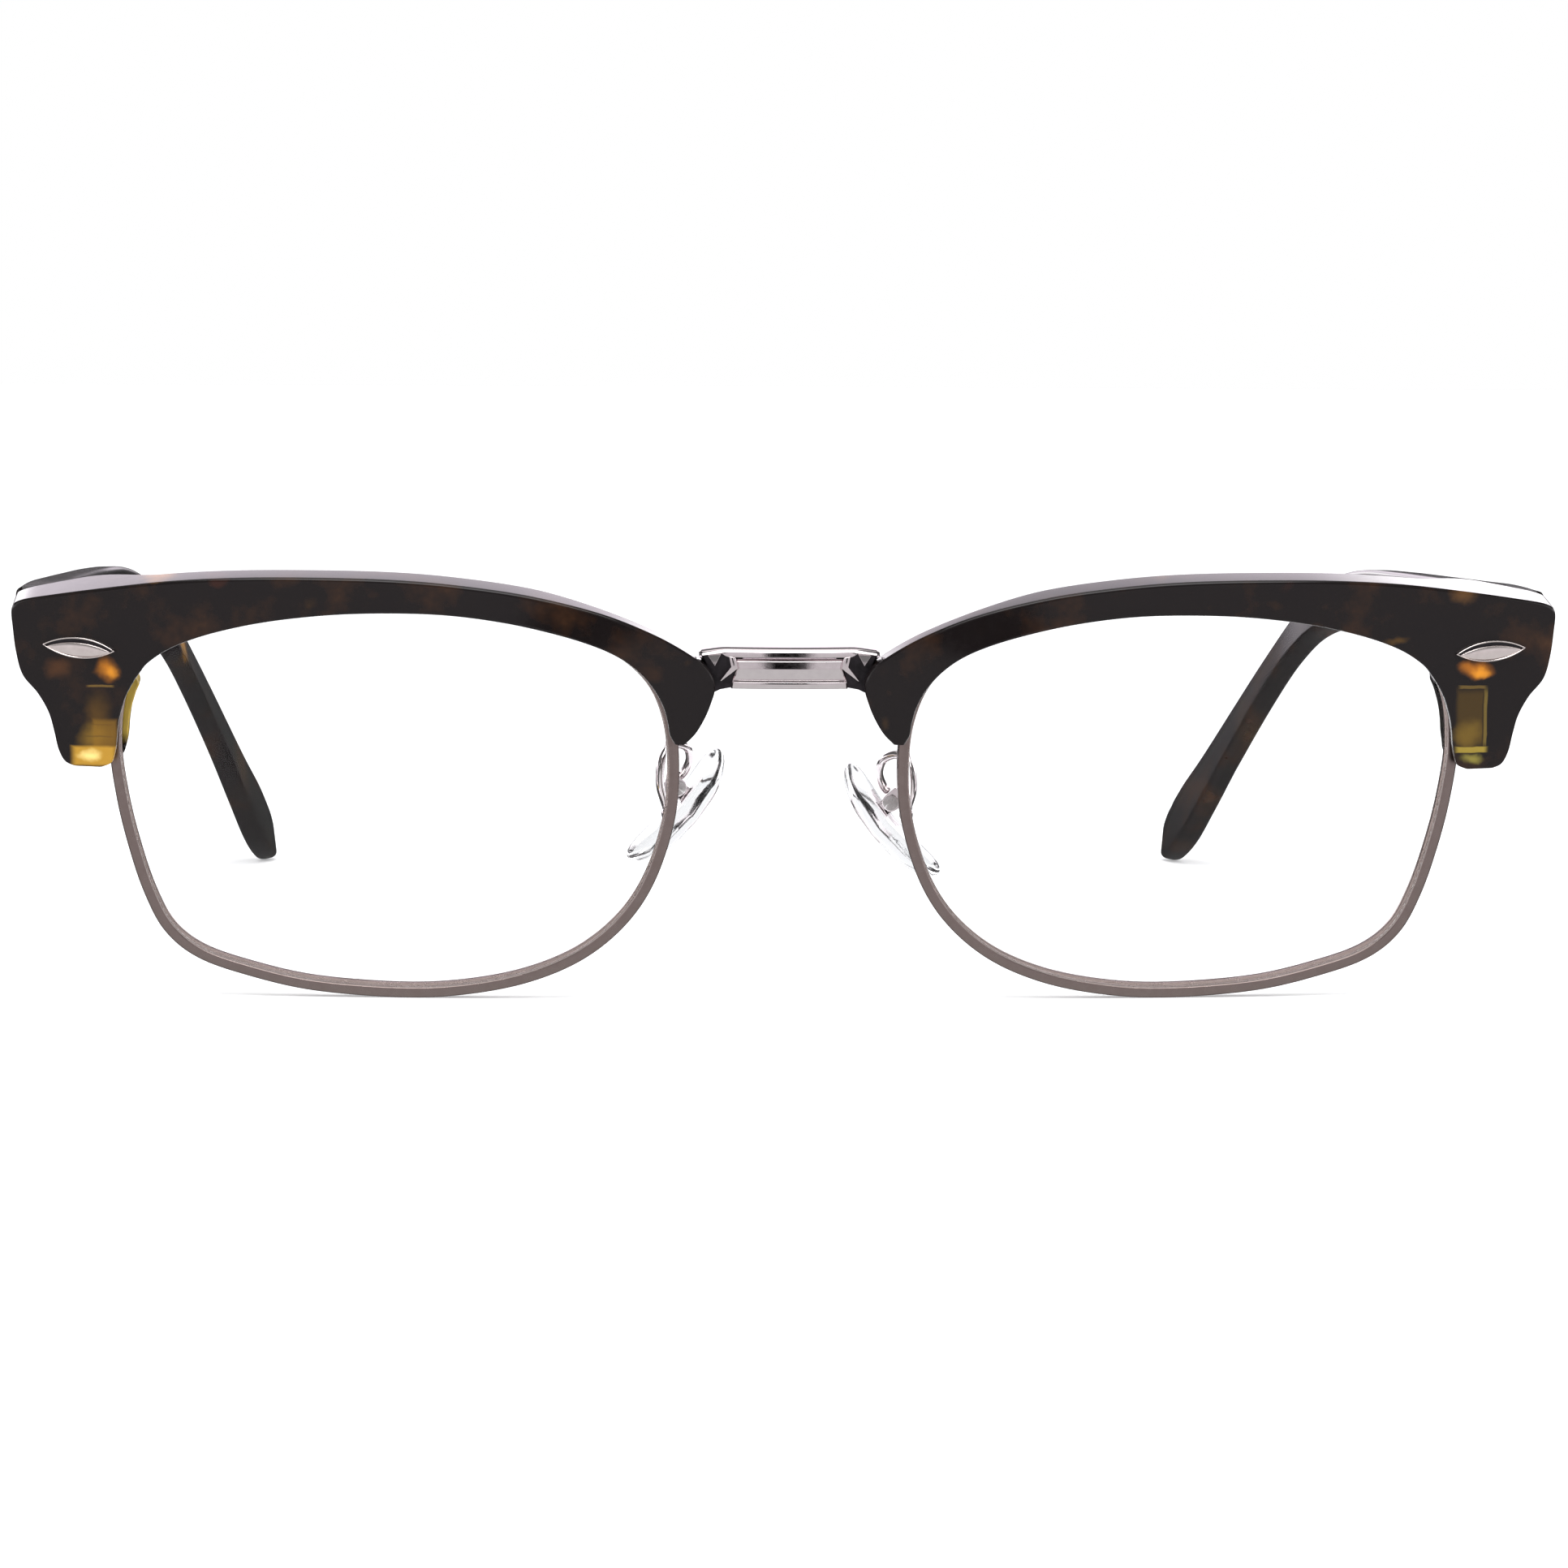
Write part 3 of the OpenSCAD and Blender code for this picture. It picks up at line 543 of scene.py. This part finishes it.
def build_bridge():
    """The bright bars, the trim beside them and the recesses, which are given near-black metal as
    painted shade.
    """
    top = sweep("top", TOP_BAR, lambda v: np.full(v.shape, TOP_BAR_U), bar_height)
    panel = sweep("panel", PANEL,
                  lambda v: np.interp(v, PANEL_ENDS[:, 0], PANEL_ENDS[:, 1]),
                  lambda u, v: v)
    bars = join("bridge_bars", [top, panel])
    flatten(bars)
    chevrons = join("bridge_chevrons", [prism("chevron", CHEVRON, TRIM_BACK, side)
                                        for side in (1, -1)])
    soften(chevrons, 0.14)
    trim = join("bridge_wings", [prism("trim", outline, back, side) for side in (1, -1)
                                 for outline, back in ((FACET, TRIM_BACK), (WING, WING_BACK))])
    soften(trim, 0.05)
    recess = join("bridge_recess", [prism("recess", RECESS, RECESS_BACK, side)
                                    for side in (1, -1)])
    soften(recess, 0.15)
    return bars, chevrons, trim, recess


# ---- nose pads and their arms ----

def pad_frame(side):
    """Axes and place of a pad drawn for the left: x away from the nose, y back, z up."""
    cl, sl = math.cos(PAD_LEAN), math.sin(PAD_LEAN)
    cs, ss = math.cos(PAD_SPLAY), math.sin(PAD_SPLAY)
    lean = np.array([[cl, 0, sl], [0, 1, 0], [-sl, 0, cl]])
    turn = np.array([[cs, -ss, 0], [ss, cs, 0], [0, 0, 1]])
    return turn @ lean, PAD_POS + np.array([0, MIDDLE_Y, PAD_OFFSET[side]])


def build_pad(side):
    """A soft clear pad: a rounded shell, curved along its length, over the metal insert."""
    half_l, half_w = PAD_L / 2, PAD_W / 2
    n = 72
    a = np.arange(n) * 2 * math.pi / n
    straight = half_l - half_w
    c, s = np.cos(a), np.sin(a)
    along = half_w * c + np.sign(np.round(c, 6)) * straight
    across = half_w * s
    r = PAD_CURVE_R - PAD_T / 2
    spread = np.sin(np.linspace(0.02, 1, 12) * math.pi / 2)
    rise = PAD_T / 2 * (1 - spread ** 5) ** 0.5
    layers = [(k, h) for k, h in zip(spread, rise)] + [
        (k, -h) for k, h in zip(spread[-2::-1], rise[-2::-1])]
    axes, place = pad_frame(side)
    rings = []
    for k, h in layers:
        angle = np.arcsin(along * k / r)
        x = r - (r + h) * np.cos(angle)
        z = (r + h) * np.sin(angle) - INSERT_RISE
        rings.append(np.stack([x, -across * k, z], -1) @ axes.T + place)
    return loft(side + "_pad_soft", rings, SIDES[side])


def tube(points, radius, flat=1.0, sides=14):
    """Rings round a curve. flat: depth of the section over its width."""
    go = unit(np.gradient(points, axis=0))
    a = unit(np.cross(go, [0.3, 1, 0.2]))
    b = np.cross(go, a)
    t = np.arange(sides) * 2 * math.pi / sides
    return (points[:, None] + radius * (a[:, None] * np.cos(t)[None, :, None] * flat
                                        + b[:, None] * np.sin(t)[None, :, None]))


def ball(name, centre, radius, side, n=20, m=12):
    """A ball of m rings of n points."""
    t = np.arange(n) * 2 * math.pi / n
    rings = []
    for f in np.linspace(0.03, math.pi - 0.03, m):
        rings.append(np.stack([np.cos(t) * math.sin(f), np.sin(t) * math.sin(f),
                               np.full(n, -math.cos(f))], -1) * radius + centre)
    return loft(name, rings, side)


def build_arm(side):
    """The wire loop from the eyewire to the pad, with a ball of solder where it starts."""
    rows = []
    for i, (u, w, v) in enumerate(ARM):
        v = v + PAD_OFFSET[side] * min(1, 1.3 * i / (len(ARM) - 1))
        rows.append([u, float(depth(u, v)) + w, v])
    path = spline(stand(rows), 9)
    wire = loft(side + "_arm", tube(path, ARM_D / 2, 0.8), SIDES[side])
    solder = ball("solder", path[0] + np.array([0, 0.1, 0]), SOLDER_R, SIDES[side])
    return join(side + "_arm_wire", [wire, solder])


# ---- materials ----

class Tree:
    """Small helper for building the nodes of a world or a material."""

    def __init__(self, owner):
        owner.use_nodes = True
        self.nodes = owner.node_tree.nodes
        self.links = owner.node_tree.links

    def add(self, kind, inputs=None, **settings):
        """A node. inputs: socket name or number to a value or another node's output."""
        node = self.nodes.new(kind)
        for key, value in settings.items():
            setattr(node, key, value)
        for key, value in (inputs or {}).items():
            self.put(node.inputs[key], value)
        return node

    def put(self, socket, value):
        if isinstance(value, bpy.types.NodeSocket):
            self.links.new(value, socket)
        else:
            socket.default_value = value

    def math(self, operation, a, b=0.0):
        return self.add("ShaderNodeMath", {0: a, 1: b}, operation=operation).outputs[0]

    def vector(self, operation, a, b):
        return self.add("ShaderNodeVectorMath", {0: a, 1: b}, operation=operation).outputs[0]

    def millimetres(self):
        """The place on the piece, in millimetres from the origin of the whole part."""
        coords = self.add("ShaderNodeTexCoord").outputs["Object"]
        return self.add("ShaderNodeVectorMath", {0: coords, "Scale": 1 / MM},
                        operation="SCALE").outputs[0]

    def noise(self, vector, scale, detail=3.0, roughness=0.5):
        return self.add("ShaderNodeTexNoise", {"Vector": vector, "Scale": scale,
                                               "Detail": detail, "Roughness": roughness})

    def ramp(self, fac, stops):
        """stops: place, colour."""
        node = self.add("ShaderNodeValToRGB", {"Fac": fac})
        elements = node.color_ramp.elements
        while len(elements) < len(stops):
            elements.new(0.5)
        for element, (place, colour) in zip(elements, stops):
            element.position = place
            element.color = (*colour, 1)
        return node.outputs["Color"]

    def span(self, value, lo, hi, to_lo, to_hi):
        """The value, from lo to hi, moved smoothly to a new span."""
        return self.add("ShaderNodeMapRange", {"Value": value, "From Min": lo, "From Max": hi,
                                               "To Min": to_lo, "To Max": to_hi},
                        interpolation_type="SMOOTHSTEP").outputs[0]

    def mix(self, fac, a, b):
        """Colour a where fac is 0, b where it is 1."""
        node = self.add("ShaderNodeMix", {0: fac}, data_type="RGBA")
        self.put(node.inputs[6], a)
        self.put(node.inputs[7], b)
        return node.outputs[2]

    def bump(self, height, distance, strength=1.0):
        """distance: millimetres."""
        return self.add("ShaderNodeBump", {"Height": height, "Distance": distance * MM,
                                           "Strength": strength}).outputs[0]


class Material(Tree):
    """Small helper for building a material round its Principled shader."""

    def __init__(self, name):
        self.mat = bpy.data.materials.new(name)
        super().__init__(self.mat)
        self.shader = self.nodes["Principled BSDF"]
        self.out = self.nodes["Material Output"]

    def surface(self, **inputs):
        """Sets or links the shader's sockets. An underscore stands for a space."""
        for key, value in inputs.items():
            self.put(self.shader.inputs[key.replace("_", " ")], value)


# Middle depth of the brows, and of the face of a brow's foot
FRONT_Y = -68
FOOT_Y = -72
# Light patches seen in the acetate, mostly its own amber but two are painted highlights: middle,
# half sizes (mm), colour, strength, kind
PATCHES = [
    # on the right brow, x < 0
    ((-62.9, FRONT_Y, 30.6), (1.5, 9, 1.5), (0.5, 0.17, 0.012), 0.95, "glow"),
    ((-62.5, FRONT_Y, 30.5), (0.8, 9, 1.0), (0.7, 0.27, 0.02), 0.8, "glow"),
    ((-67.6, FRONT_Y, 30.6), (1.8, 9, 1.3), (0.09, 0.035, 0.012), 0.6, "glow"),
    # Painted highlight: a thin bright line along the top edge of the foot's block.
    ((-63.6, FRONT_Y, 29.1), (1.3, 9, 0.12), (0.22, 0.13, 0.03), 0.5, "block"),
    ((-63.8, FRONT_Y, 26.5), (1.7, 9, 2.6), (0.08, 0.04, 0.008), 0.9, "glow"),
    ((-64.1, FRONT_Y, 24.2), (2.1, 9, 1.7), (0.2, 0.11, 0.014), 0.9, "glow"),
    ((-63.2, FRONT_Y, 24.6), (1.2, 9, 1.5), (0.22, 0.11, 0.012), 0.6, "block"),
    ((-64.2, FRONT_Y, 22.6), (2.2, 9, 0.95), (0.48, 0.26, 0.03), 0.9, "block"),
    # The foot's yellow acetate, brightened beyond its own colour by a painted highlight at its
    # bottom edge.
    ((-64.6, FRONT_Y, 22.75), (1.5, 9, 0.6), (0.92, 0.7, 0.24), 0.95, "glow"),
    ((-63.8, FRONT_Y, 24.4), (1.4, 9, 0.08), (0.07, 0.04, 0.01), 0.4, "line"),
    ((-63.6, FRONT_Y, 25.5), (1.2, 9, 0.06), (0.07, 0.04, 0.01), 0.3, "line"),
    ((-60.9, -66.2, 27.6), (1.6, 2.5, 3.9), (0.72, 0.5, 0.09), 0.95, "block"),
    ((-58.2, FRONT_Y, 39.3), (2.2, 9, 0.9), (0.34, 0.15, 0.02), 0.8, "glow"),
    ((-52.6, FRONT_Y, 39.0), (1.7, 9, 0.9), (0.12, 0.03, 0.012), 0.6, "glow"),
    ((-44.0, FRONT_Y, 37.0), (1.4, 9, 1.2), (0.14, 0.065, 0.012), 0.7, "glow"),
    ((-38.9, FRONT_Y, 37.0), (1.3, 9, 1.4), (0.07, 0.035, 0.012), 0.5, "glow"),
    ((-20.3, FRONT_Y, 35.9), (1.4, 9, 1.0), (0.1, 0.045, 0.01), 0.6, "glow"),
    ((-14.4, FRONT_Y, 32.7), (2.1, 9, 1.1), (0.1, 0.045, 0.01), 0.7, "glow"),
    ((-9.5, FRONT_Y, 31.7), (1.5, 9, 1.1), (0.2, 0.09, 0.02), 0.8, "glow"),
    # on the left brow, x > 0
    ((64.2, FOOT_Y, 31.0), (2.0, 4, 1.0), (0.4, 0.13, 0.012), 0.95, "glow"),
    ((64.6, FOOT_Y, 30.8), (1.1, 4, 0.7), (0.7, 0.27, 0.02), 0.85, "glow"),
    ((63.8, FOOT_Y, 26.4), (1.5, 3.5, 2.8), (0.055, 0.032, 0.008), 0.85, "block"),
    ((63.6, FOOT_Y, 24.9), (1.7, 4, 1.8), (0.15, 0.09, 0.014), 0.8, "glow"),
    ((65.2, FOOT_Y, 26.4), (0.17, 3.5, 2.8), (0.16, 0.11, 0.025), 0.7, "block"),
    ((64.95, FOOT_Y, 26.4), (0.07, 3.5, 2.7), (0.015, 0.01, 0.006), 0.6, "line"),
    ((63.9, FOOT_Y, 29.3), (1.4, 3.5, 0.16), (0.16, 0.1, 0.025), 0.6, "block"),
    ((63.9, FOOT_Y, 23.4), (1.6, 3.5, 0.3), (0.32, 0.23, 0.035), 0.85, "block"),
    ((63.9, FOOT_Y, 22.5), (1.5, 4, 0.75), (0.24, 0.2, 0.04), 0.85, "glow"),
    ((56.5, FRONT_Y, 33.7), (1.8, 9, 0.7), (0.16, 0.08, 0.015), 0.7, "glow"),
    ((44.8, FRONT_Y, 37.2), (1.5, 9, 1.1), (0.13, 0.055, 0.012), 0.7, "glow"),
    ((34.3, FRONT_Y, 39.0), (1.2, 9, 1.5), (0.2, 0.09, 0.018), 0.7, "glow"),
    ((62.9, FRONT_Y, 37.9), (1.8, 9, 1.0), (0.13, 0.06, 0.018), 0.8, "glow"),
    ((45.8, FRONT_Y, 38.9), (1.5, 9, 0.9), (0.12, 0.03, 0.012), 0.6, "glow"),
    ((20.2, FRONT_Y, 35.9), (1.4, 9, 1.0), (0.1, 0.045, 0.01), 0.6, "glow"),
    ((13.5, FRONT_Y, 31.7), (2.1, 9, 1.1), (0.1, 0.045, 0.01), 0.7, "glow"),
    ((8.8, FRONT_Y, 26.0), (1.1, 9, 1.5), (0.22, 0.11, 0.03), 0.8, "glow"),
    ((8.4, FRONT_Y, 31.0), (1.5, 9, 1.8), (0.07, 0.03, 0.012), 0.8, "glow"),
    # on the temples
    ((-61.8, 41, 27.3), (5, 2.8, 3), (0.42, 0.2, 0.03), 0.9, "glow"),
    ((66.0, 32, 30.5), (5, 4, 4), (0.08, 0.03, 0.015), 0.7, "glow"),
    ((59.0, 52, 18.0), (5, 4, 4), (0.06, 0.03, 0.01), 0.6, "glow"),
    ((-56.0, 62, 12.0), (5, 4, 4), (0.06, 0.03, 0.01), 0.6, "glow")]
# How each kind fades, as shares of its half sizes: full inside the first, gone at the second
FADES = {"glow": (0.2, 1.05), "block": (0.72, 1.1), "line": (0.6, 1.2)}


# How far the patches' outlines wander, in millimetres: glows, and the straight edged kinds
GLOW_WANDER = 1.6
EDGE_WANDER = 0.25
# Colours of the dark acetate, by the amount of mottling
MOTTLE = [(0.0, (0.006, 0.005, 0.006)), (0.52, (0.008, 0.006, 0.006)),
          (0.64, (0.022, 0.011, 0.007)), (0.78, (0.05, 0.022, 0.01))]


def wandered(t, p):
    """The place moved about by slow noise: by a lot for glows, by little for edges."""
    wander = t.noise(p, 0.5, 3.0, 0.5)
    centred = t.vector("SUBTRACT", wander.outputs["Color"], (0.5, 0.5, 0.5))
    return [t.add("ShaderNodeVectorMath", {0: centred, 1: (k, k, k), 2: p},
                  operation="MULTIPLY_ADD").outputs[0] for k in (GLOW_WANDER, EDGE_WANDER)]


def patch_distance(t, p, centre, size, kind):
    """Distance from a patch's middle, as a share of its half sizes. Glows are round."""
    near = t.vector("DIVIDE", t.vector("SUBTRACT", p, centre), size)
    if kind == "glow":
        return t.add("ShaderNodeVectorMath", {0: near}, operation="LENGTH").outputs["Value"]
    part = t.add("ShaderNodeSeparateXYZ", {0: near}).outputs
    sides = [t.math("ABSOLUTE", part[axis]) for axis in "XYZ"]
    return t.math("MAXIMUM", t.math("MAXIMUM", sides[0], sides[1]), sides[2])


def acetate():
    """Nearly black tortoiseshell acetate with a satin polish and light patches in it, two of them
    painted highlights.
    """
    t = Material("acetate_tortoise")
    p = t.millimetres()
    mottle = t.noise(p, 0.16, 4.0, 0.6)
    colour = t.ramp(mottle.outputs["Fac"], MOTTLE)
    warped, bent = wandered(t, p)
    for centre, size, tint, strength, kind in PATCHES:
        far = patch_distance(t, warped if kind == "glow" else bent, centre, size, kind)
        full, gone = FADES[kind]
        colour = t.mix(t.span(far, full, gone, strength, 0), colour, (*tint, 1))
    grain = t.noise(p, 1.6, 3.0, 0.5).outputs["Fac"]
    t.surface(Base_Color=colour, IOR=1.49, Specular_IOR_Level=0.3,
              Roughness=t.span(grain, 0.2, 0.8, 0.08, 0.13),
              Normal=t.bump(grain, 0.0006, 0.5))
    return t.mat


def metal(name, tint, dark, roughness, spread=0.05, scale=1.2, depth_mm=0.0012):
    """Plated metal: slight clouding in its colour and polish, and fine marks."""
    t = Material(name)
    p = t.millimetres()
    cloud = t.noise(p, scale, 4.0, 0.6).outputs["Fac"]
    fine = t.noise(p, scale * 9, 2.0, 0.6).outputs["Fac"]
    colour = t.ramp(cloud, [(0.3, dark), (0.65, tint)])
    t.surface(Base_Color=colour, Metallic=1.0,
              Roughness=t.span(cloud, 0.25, 0.75, roughness + spread, roughness - spread),
              Normal=t.bump(fine, depth_mm, 0.5))
    return t.mat


def clear_for_lamps(t):
    """Lets light through to what stands behind the clear piece."""
    see = t.add("ShaderNodeBsdfTransparent")
    path = t.add("ShaderNodeLightPath").outputs["Is Shadow Ray"]
    mix = t.add("ShaderNodeMixShader", {0: path})
    t.links.new(t.shader.outputs[0], mix.inputs[1])
    t.links.new(see.outputs[0], mix.inputs[2])
    t.links.new(mix.outputs[0], t.out.inputs["Surface"])


def lens_material():
    """Clear lens, its coating taking most of the gloss away, with the faintest streaks."""
    t = Material("lens_clear")
    p = t.millimetres()
    streak = t.noise(p, 0.08, 2.0).outputs["Fac"]
    tint = t.ramp(streak, [(0.3, (0.985, 0.99, 0.99)), (0.7, (1, 1, 1))])
    t.surface(Base_Color=tint, Transmission_Weight=1.0, IOR=1.15, Roughness=0.0)
    clear_for_lamps(t)
    return t.mat


def silicone():
    """Soft clear silicone, a little cloudy."""
    t = Material("silicone_clear")
    p = t.millimetres()
    haze = t.noise(p, 0.5, 3.0).outputs["Fac"]
    t.surface(Base_Color=(0.97, 0.98, 1, 1), Transmission_Weight=1.0, IOR=1.41,
              Roughness=t.span(haze, 0.3, 0.7, 0.04, 0.12),
              Normal=t.bump(haze, 0.05, 0.4))
    clear_for_lamps(t)
    return t.mat


def dress(obj, mat):
    """Gives a piece its only material."""
    obj.data.materials.clear()
    obj.data.materials.append(mat)


def show(obj, mat, slot, body, *nodes):
    """Gives a new piece its look, its body and the CAD nodes that it stands for."""
    dress(obj, mat)
    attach(obj, body)
    if nodes:
        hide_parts(*nodes)


# ---- floor, light and camera ----

STAGE_MM = 6000
FLOOR_Z = -0.02


def plain_material(name, colour, strength=0.0):
    """Dull finish for the stage. strength: its own light."""
    t = Material(name)
    t.surface(Base_Color=(*colour, 1), Roughness=0.9, Specular_IOR_Level=0.1)
    if strength:
        t.surface(Emission_Color=(*colour, 1), Emission_Strength=strength)
    return t.mat


def sheet(name, w, h, z=0.0):
    """A flat rectangle."""
    x, y = w / 2, h / 2
    return make_mesh(name, [(-x, -y, z), (x, -y, z), (x, y, z), (-x, y, z)],
                     [(0, 1, 2, 3)], smooth=False)


def build_floor():
    floor = sheet("floor", STAGE_MM, STAGE_MM, FLOOR_Z)
    floor.data.materials.append(plain_material("floor_pale", (0.86, 0.86, 0.87), 0.35))
    floor.visible_glossy = False


def flag(name, place, size, aim):
    """A black card that only shows in gloss, as used to shape reflections. Millimetres."""
    card = sheet(name, *size)
    card.location = [c * MM for c in place]
    card.rotation_euler = look(place, aim)
    card.data.materials.append(plain_material(name, (0.0, 0.0, 0.0)))
    card.visible_camera = False
    card.visible_diffuse = False
    card.visible_transmission = False
    card.visible_shadow = False


def look(place, aim, roll=0.0):
    """The turn that points an object's -Z axis from place to aim."""
    way = Vector(place) - Vector(aim)
    turn = way.to_track_quat("Z", "Y")
    return (turn.to_matrix().to_4x4() @ Matrix.Rotation(roll, 4, "Z")).to_euler()


def softbox(name, place, size, radiance, aim):
    """An area light. Millimetres."""
    light = bpy.data.lights.new(name, "AREA")
    light.shape = "RECTANGLE"
    light.size, light.size_y = size[0] * MM, size[1] * MM
    light.energy = radiance * math.pi * light.size * light.size_y
    obj = bpy.data.objects.new(name, light)
    obj.location = [c * MM for c in place]
    obj.rotation_euler = look(place, aim)
    bpy.context.collection.objects.link(obj)


# The room as gloss sees it, half as bright as it looks: height, from 0 straight down through
# 0.5 level to 1 straight up, and colour
ROOM_AHEAD = [(0.0, (0.31, 0.31, 0.31)), (0.45, (0.31, 0.295, 0.305)),
              (0.62, (0.36, 0.345, 0.36)), (0.75, (0.1, 0.1, 0.1))]
ROOM_BEHIND = [(0.0, (0.1, 0.1, 0.1)), (0.44, (0.02, 0.02, 0.02)), (0.5, (0.03, 0.03, 0.03)),
               (0.55, (0.08, 0.075, 0.08)), (0.61, (0.9, 0.82, 0.9)), (0.7, (0.9, 0.82, 0.9)),
               (0.78, (0.06, 0.06, 0.06))]
# Brighter beside the middle of the room behind, at the height of its bright band
BESIDE_HEIGHTS = [(0.57, (0, 0, 0)), (0.61, (1, 1, 1)), (0.7, (1, 1, 1)), (0.76, (0, 0, 0))]
BESIDE_COLOUR = (1.6, 1.55, 1.6, 1)
# A light strip straight overhead
OVERHEAD_HEIGHTS = [(0.9, (0, 0, 0)), (0.95, (1, 1, 1))]
OVERHEAD_COLOUR = (0.55, 0.53, 0.54, 1)


def glossy_room(t):
    """The colour of the room in the direction that a reflection looks."""
    coords = t.add("ShaderNodeTexCoord").outputs["Generated"]
    way = t.add("ShaderNodeSeparateXYZ", {0: coords}).outputs
    height = t.span(way["Z"], -1, 1, 0, 1)
    aside = t.math("ABSOLUTE", way["X"])
    ahead = t.ramp(height, ROOM_AHEAD)
    rear = t.ramp(height, ROOM_BEHIND)
    beside = t.math("MULTIPLY", t.span(aside, 0.13, 0.18, 0, 1), t.ramp(height, BESIDE_HEIGHTS))
    rear = t.mix(beside, rear, BESIDE_COLOUR)
    room = t.mix(t.span(way["Y"], -0.3, 0.3, 0, 1), ahead, rear)
    overhead = t.math("MULTIPLY", t.ramp(height, OVERHEAD_HEIGHTS),
                      t.span(aside, 0.2, 0.3, 1, 0))
    return t.mix(overhead, room, OVERHEAD_COLOUR)


def build_world():
    """White all round, but reflections see a room that is darker low down and behind."""
    world = bpy.data.worlds.new("studio")
    bpy.context.scene.world = world
    t = Tree(world)
    room = glossy_room(t)
    path = t.add("ShaderNodeLightPath").outputs
    gloss = t.math("MULTIPLY", path["Is Glossy Ray"],
                   t.math("SUBTRACT", 1.0, path["Is Transmission Ray"]))
    background = t.nodes["Background"].inputs
    t.put(background["Color"], t.mix(gloss, (1, 1, 1, 1), room))
    t.put(background["Strength"], t.math("ADD", gloss, 1.0))


LIGHT_AIM = (0, -60, 20)


def build_light():
    """Three soft lamps, and a black card whose reflection darkens the bridge's middle."""
    build_world()
    softbox("softbox_top", (0, -300, 700), (600, 400), 3.6, LIGHT_AIM)
    softbox("softbox_left", (-700, -300, 350), (400, 500), 1.2, LIGHT_AIM)
    softbox("softbox_right", (700, -300, 350), (400, 500), 1.2, LIGHT_AIM)
    flag("flag_front", (20, -640, 50), (84, 260), LIGHT_AIM)
    bpy.context.scene.view_settings.view_transform = "Standard"


CAMERA_AIM = (-0.39, -73.25, 20.25)
CAMERA_AZIMUTH = math.radians(-2.5)
CAMERA_ELEVATION = math.radians(4.45)
CAMERA_DISTANCE = 620
CAMERA_ROLL = math.radians(0.28)
CAMERA_LENS = 153.6
CAMERA_SENSOR = 36


def build_camera():
    """Looks almost square on at the front, from a little above."""
    back = (math.sin(CAMERA_AZIMUTH) * math.cos(CAMERA_ELEVATION),
            -math.cos(CAMERA_AZIMUTH) * math.cos(CAMERA_ELEVATION),
            math.sin(CAMERA_ELEVATION))
    place = [a + b * CAMERA_DISTANCE for a, b in zip(CAMERA_AIM, back)]
    data = bpy.data.cameras.new("camera")
    data.sensor_width = CAMERA_SENSOR
    data.lens = CAMERA_LENS
    data.clip_start = 0.01
    camera = bpy.data.objects.new("camera", data)
    camera.location = [c * MM for c in place]
    camera.rotation_euler = look(place, CAMERA_AIM, CAMERA_ROLL)
    bpy.context.collection.objects.link(camera)
    bpy.context.scene.camera = camera


# ---- the whole object ----

def dress_cad(names, mat, bevel):
    """CAD nodes that stay: softened edges and a finish. bevel: millimetres."""
    for name in names:
        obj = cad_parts[name]
        soften(obj, bevel)
        dress(obj, mat)


def show_plaque(plaque, mats, body, node):
    dress_plaque(plaque, mats["rose"], mats["dark"])
    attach(plaque, body)
    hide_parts(node)


def build_side(side, mats):
    """The pieces of one side, and the finish of its CAD nodes that stay."""
    front, temple, pad = "front", side + "_temple", side + "_pad"
    show(build_brow(side), mats["acetate"], "acetate", front, side + "_brow")
    show(build_eyewire(side), mats["gunmetal"], "rim_metal", front, side + "_eyewire")
    show(build_lens(side), mats["lens"], "lens", front, side + "_lens")
    brow_plaque = build_brow_plaque(side)
    temple_plaque = build_temple_plaque(side)
    show_plaque(brow_plaque, mats, front, side + "_brow_plaque")
    show_plaque(temple_plaque, mats, temple, side + "_temple_plaque")
    show(build_arm(side), mats["chrome"], "bright_metal", front, side + "_pad_arm")
    show(build_temple(side), mats["acetate"], "acetate", temple, side + "_temple")
    show(build_pad(side), mats["silicone"], "silicone", pad, side + "_nose_pad")
    dress_cad([side + n for n in ("_rim_lock_upper", "_rim_lock_lower")], mats["gunmetal"],
              0.15)
    dress_cad([side + n for n in ("_front_hinge", "_temple_hinge")], mats["hinge"],
              0.1)
    dress_cad([side + n for n in ("_rim_lock_screw", "_brow_screws", "_hinge_screw",
                                  "_front_rivets", "_temple_rivets", "_pad_screw")],
              mats["screw"], 0.06)
    dress_cad([side + n for n in ("_pad_box", "_pad_insert")], mats["chrome"],
              0.06)


def build_object():
    """The bridge and both sides. The metals: name, bright and dark tint, roughness."""
    mats = {
        "acetate": acetate(),
        "gunmetal": metal("gunmetal_satin", (0.31, 0.25, 0.235), (0.29, 0.23, 0.215), 0.3),
        "chrome": metal("chrome_bright", (0.82, 0.76, 0.77), (0.78, 0.72, 0.73), 0.09, 0.03),
        # Near-black metal for the bridge's recesses and the plaques' hollows: painted shade.
        "dark": metal("recess_painted_shade", (0.05, 0.045, 0.05), (0.03, 0.028, 0.03), 0.35),
        "rose": metal("plaque_rose_silver", (0.93, 0.85, 0.82), (0.86, 0.78, 0.75), 0.22),
        "hinge": metal("hinge_nickel", (0.66, 0.63, 0.61), (0.56, 0.53, 0.52), 0.25),
        "screw": metal("screw_steel", (0.6, 0.58, 0.57), (0.48, 0.46, 0.45), 0.28),
        "lens": lens_material(),
        "silicone": silicone()}
    bars, chevrons, trim, recess = build_bridge()
    show(bars, mats["chrome"], "bright_metal", "front", "bridge")
    show(chevrons, mats["chrome"], "bright_metal", "front")
    show(trim, mats["chrome"], "bright_metal", "front")
    # The recesses take the near-black metal: painted shade.
    show(recess, mats["dark"], "bright_metal", "front")
    for side in SIDES:
        build_side(side, mats)


build_object()
build_floor()
build_light()
build_camera()
